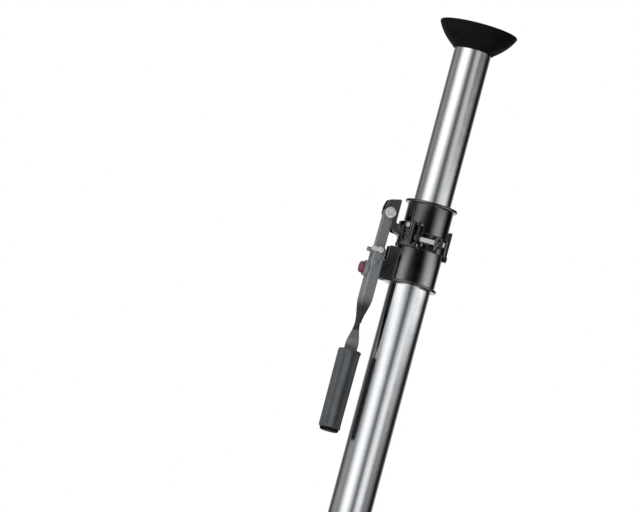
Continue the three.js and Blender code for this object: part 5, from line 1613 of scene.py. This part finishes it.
@dataclass(frozen=True)
class Tent:
    """A round tent that only reflections see, lit by soft patches of light."""

    radius: float = 2.3
    mouth: float = 0.08
    hem: float = 0.003
    level: float = 0.015  # of its cloth between the patches
    steps: int = 90
    tube_end: float = 2.068
    lower_band: Pair = (2.086, 2.128)
    upper_band: Pair = (2.142, 2.185)
    head_start: float = 2.205
    high: float = 4.6

    def rows(self) -> list[tuple[float, float, Sequence[Glow]]]:
        """Places the bright patches that the pole mirrors.

        The outer tube, the lower collar, the upper collar and the inner tube each mirror their own rows.

        Returns:
            The radius, height and patches of each row, from the floor up.
        """
        behind = Glow(180, 55, 0.7)
        tube = [Glow(-32, 46, 1.6), Glow(-92, 50, 0.38), Glow(37, 34, 1.2), Glow(80, 38, 0.24),
                Glow(5, 60, 0.08), behind]
        lower = [Glow(-63, 42, 3.0), Glow(72, 47, 4.2), behind]
        upper = [Glow(-52, 42, 1.3), Glow(61, 44, 2.9), behind]
        head = [Glow(-40, 50, 1.95), Glow(-104, 44, 0.36), Glow(35, 29, 0.6), Glow(78, 36, 0.22),
                Glow(5, 60, 0.12), behind]
        heights = [(self.hem, tube), (self.tube_end, tube)]
        heights += [(height, lower) for height in self.lower_band]
        heights += [(height, upper) for height in self.upper_band]
        heights += [(self.head_start, head), (self.high, head)]
        return [(self.mouth, self.hem, tube)] + [(self.radius, height, glows) for height, glows in heights]

    def cloth(self) -> bpy.types.Material:
        """Makes the tent's material.

        Returns:
            A material that glows as brightly as the mesh says.
        """
        made = bpy.data.materials.new("light_tent")
        made.use_nodes = True
        tree = made.node_tree
        tree.nodes.clear()
        level = add(tree, "ShaderNodeAttribute", attribute_name="level").outputs["Fac"]
        glow = add(tree, "ShaderNodeEmission", {"Color": WHITE}, {"Strength": level}).outputs[0]
        add(tree, "ShaderNodeOutputMaterial", {}, {"Surface": glow})
        return made

    def build(self) -> None:
        """Hangs the tent round the pole."""
        rows, count = self.rows(), self.steps
        points = [bearing(360 * step / count) * radius + Vector((0, 0, height))
                  for radius, height, _ in rows for step in range(count)]
        faces = []
        for row in range(len(rows) - 1):
            for step in range(count):
                low, after = row * count + step, row * count + (step + 1) % count
                faces.append((low, after, after + count, low + count))
        mesh = bpy.data.meshes.new("light_tent")
        mesh.from_pydata(points, [], faces)
        levels = mesh.attributes.new("level", "FLOAT", "POINT")
        for row, (_, _, glows) in enumerate(rows):
            for step in range(count):
                light = sum(glow.at(360 * step / count) for glow in glows)
                levels.data[row * count + step].value = self.level + light
        mesh.materials.append(self.cloth())
        made = bpy.data.objects.new("light_tent", mesh)
        bpy.context.scene.collection.objects.link(made)
        made.visible_camera = made.visible_diffuse = made.visible_shadow = made.visible_transmission = False


@dataclass(frozen=True)
class Studio:
    """The camera, lamps, tent, floor and white surround."""

    elevation: float = -7.0
    lean: Pair = (0.9656, 0.2602)
    scale: float = 0.9435  # of the photograph, in pixels to a millimetre
    distance: float = 8000.0
    aim: Pair = (-111.85, -50.5)  # from the pole at the aim's height to the picture's middle, in pixels
    aim_height: float = 1904.0
    width: float = 640.0
    sensor: float = 36.0
    lamp_distance: float = 1.6
    lamp_top: float = 3.0
    ambient: float = 0.03
    floor_reach: float = 90.0
    fade: Pair = (0.1, 1.3)  # how far from the pole the floor starts and ends its fade to white
    fade_start: float = 0.3

    def camera(self) -> None:
        """Sets the camera at the photograph's angle."""
        rise, level = math.radians(self.elevation), bearing(90)
        back = bearing(0) * math.cos(rise) + Vector((0, 0, math.sin(rise)))
        upright = back.cross(level)
        right = level * self.lean[0] + upright * self.lean[1]
        up = upright * self.lean[0] - level * self.lean[1]
        target = Vector((0, 0, self.aim_height)) + (right * self.aim[0] + up * self.aim[1]) / self.scale
        data = bpy.data.cameras.new("camera")
        data.sensor_width = self.sensor
        data.lens = self.scale * self.distance * self.sensor / self.width
        data.clip_end = 100
        camera = bpy.data.objects.new("camera", data)
        bpy.context.scene.collection.objects.link(camera)
        place = Matrix((right, up, back)).transposed().to_4x4()
        camera.matrix_world = Matrix.Translation((target + back * self.distance) * MM) @ place
        bpy.context.scene.camera = camera

    def lamp(self, name: str, degrees: float, width: float, light: float) -> None:
        """Hangs a flat soft lamp that faces the pole.

        Args:
            name: of the lamp.
            degrees: to the right of the camera.
            width: in metres.
            light: how bright its face is, where 1 is white.
        """
        data = bpy.data.lights.new(name, "AREA")
        data.shape, data.size, data.size_y = "RECTANGLE", width, self.lamp_top
        data.energy = light * math.pi * width * self.lamp_top
        made = bpy.data.objects.new(name, data)
        out = bearing(degrees)
        made.location = out * self.lamp_distance + Vector((0, 0, self.lamp_top / 2))
        made.rotation_euler = out.to_track_quat("Z", "Y").to_euler()
        made.visible_camera = made.visible_glossy = False
        bpy.context.scene.collection.objects.link(made)

    def paper(self) -> bpy.types.Material:
        """Makes the floor's material.

        Returns:
            A material that is pale by the pole, white beyond it and clear from below.
        """
        made = bpy.data.materials.new("paper_floor")
        made.use_nodes = True
        tree = made.node_tree
        shader = tree.nodes["Principled BSDF"]
        shader.inputs["Base Color"].default_value = linear("#EFEFED")
        shader.inputs["Roughness"].default_value = 0.9
        place = add(tree, "ShaderNodeTexCoord").outputs["Object"]
        away = add(tree, "ShaderNodeVectorMath", {}, {0: place}, operation="LENGTH").outputs["Value"]
        spans = {"From Min": self.fade[0], "From Max": self.fade[1], "To Min": self.fade_start}
        fade = add(tree, "ShaderNodeMapRange", spans, {"Value": away}, interpolation_type="SMOOTHSTEP")
        share = add(tree, "ShaderNodeMath", {}, {0: seen_rays(tree), 1: fade.outputs[0]},
                    operation="MULTIPLY").outputs[0]
        white = add(tree, "ShaderNodeEmission", {"Color": WHITE, "Strength": 1.0}).outputs[0]
        top = add(tree, "ShaderNodeMixShader", {}, {0: share, 1: shader.outputs[0], 2: white}).outputs[0]
        under = add(tree, "ShaderNodeNewGeometry").outputs["Backfacing"]
        clear = add(tree, "ShaderNodeBsdfTransparent").outputs[0]
        both = add(tree, "ShaderNodeMixShader", {}, {0: under, 1: top, 2: clear}).outputs[0]
        tree.links.new(both, tree.nodes["Material Output"].inputs["Surface"])
        return made

    def floor(self) -> None:
        """Lays the floor, which keeps the pole's shadow."""
        reach = self.floor_reach
        mesh = bpy.data.meshes.new("floor")
        mesh.from_pydata([(-reach, -reach, 0), (reach, -reach, 0), (reach, reach, 0), (-reach, reach, 0)],
                         [], [(0, 1, 2, 3)])
        mesh.materials.append(self.paper())
        made = bpy.data.objects.new("floor", mesh)
        bpy.context.scene.collection.objects.link(made)

    def surround(self) -> None:
        """Makes the world: white where it is seen, dimmer as a source of light."""
        world = bpy.data.worlds.new("white_surround")
        bpy.context.scene.world = world
        world.use_nodes = True
        tree = world.node_tree
        tree.nodes.clear()
        dim, white = (add(tree, "ShaderNodeBackground", {"Color": WHITE, "Strength": strength}).outputs[0]
                      for strength in (self.ambient, 1.0))
        mix = add(tree, "ShaderNodeMixShader", {}, {0: seen_rays(tree), 1: dim, 2: white}).outputs[0]
        add(tree, "ShaderNodeOutputWorld", {}, {"Surface": mix})

    def build(self) -> None:
        """Makes the whole studio."""
        self.camera()
        self.surround()
        self.floor()
        self.lamp("left_softbox", degrees=-42, width=1.6, light=2.9)
        self.lamp("right_softbox", degrees=66, width=1.8, light=0.15)
        Tent().build()
        bpy.context.scene.view_settings.view_transform = "Standard"


def main() -> None:
    """Builds the studio and every sub-assembly in order."""
    logging.basicConfig(level=logging.INFO, format="%(message)s")
    Studio().build()
    Tube("outer_tube", "base_pole", radius=OUTER_RADIUS, wall=1.75, low=10.1, high=1851.2).build()
    Tube("inner_tube", "inner_pole", radius=INNER_RADIUS, wall=1.5, low=53.8, high=2089.9).build()
    EndFitting("foot", "base_pole", tube_radius=OUTER_RADIUS, sole=0.0, upward=True).build()
    EndFitting("head", "inner_pole", tube_radius=INNER_RADIUS, sole=2100.0, upward=False).build()
    refinished("inner_bush", WHITE_NYLON)
    Collars().build()
    ring = GripRing()
    ring.build()
    PinchBolt(ring).build()
    Toggle().build()
    refinished("top_clip", ZINC_PLATE)
    Lever().build()
    Latch().build()
    for pin in fasteners():
        pin.build()


if __name__ == "__main__":
    main()
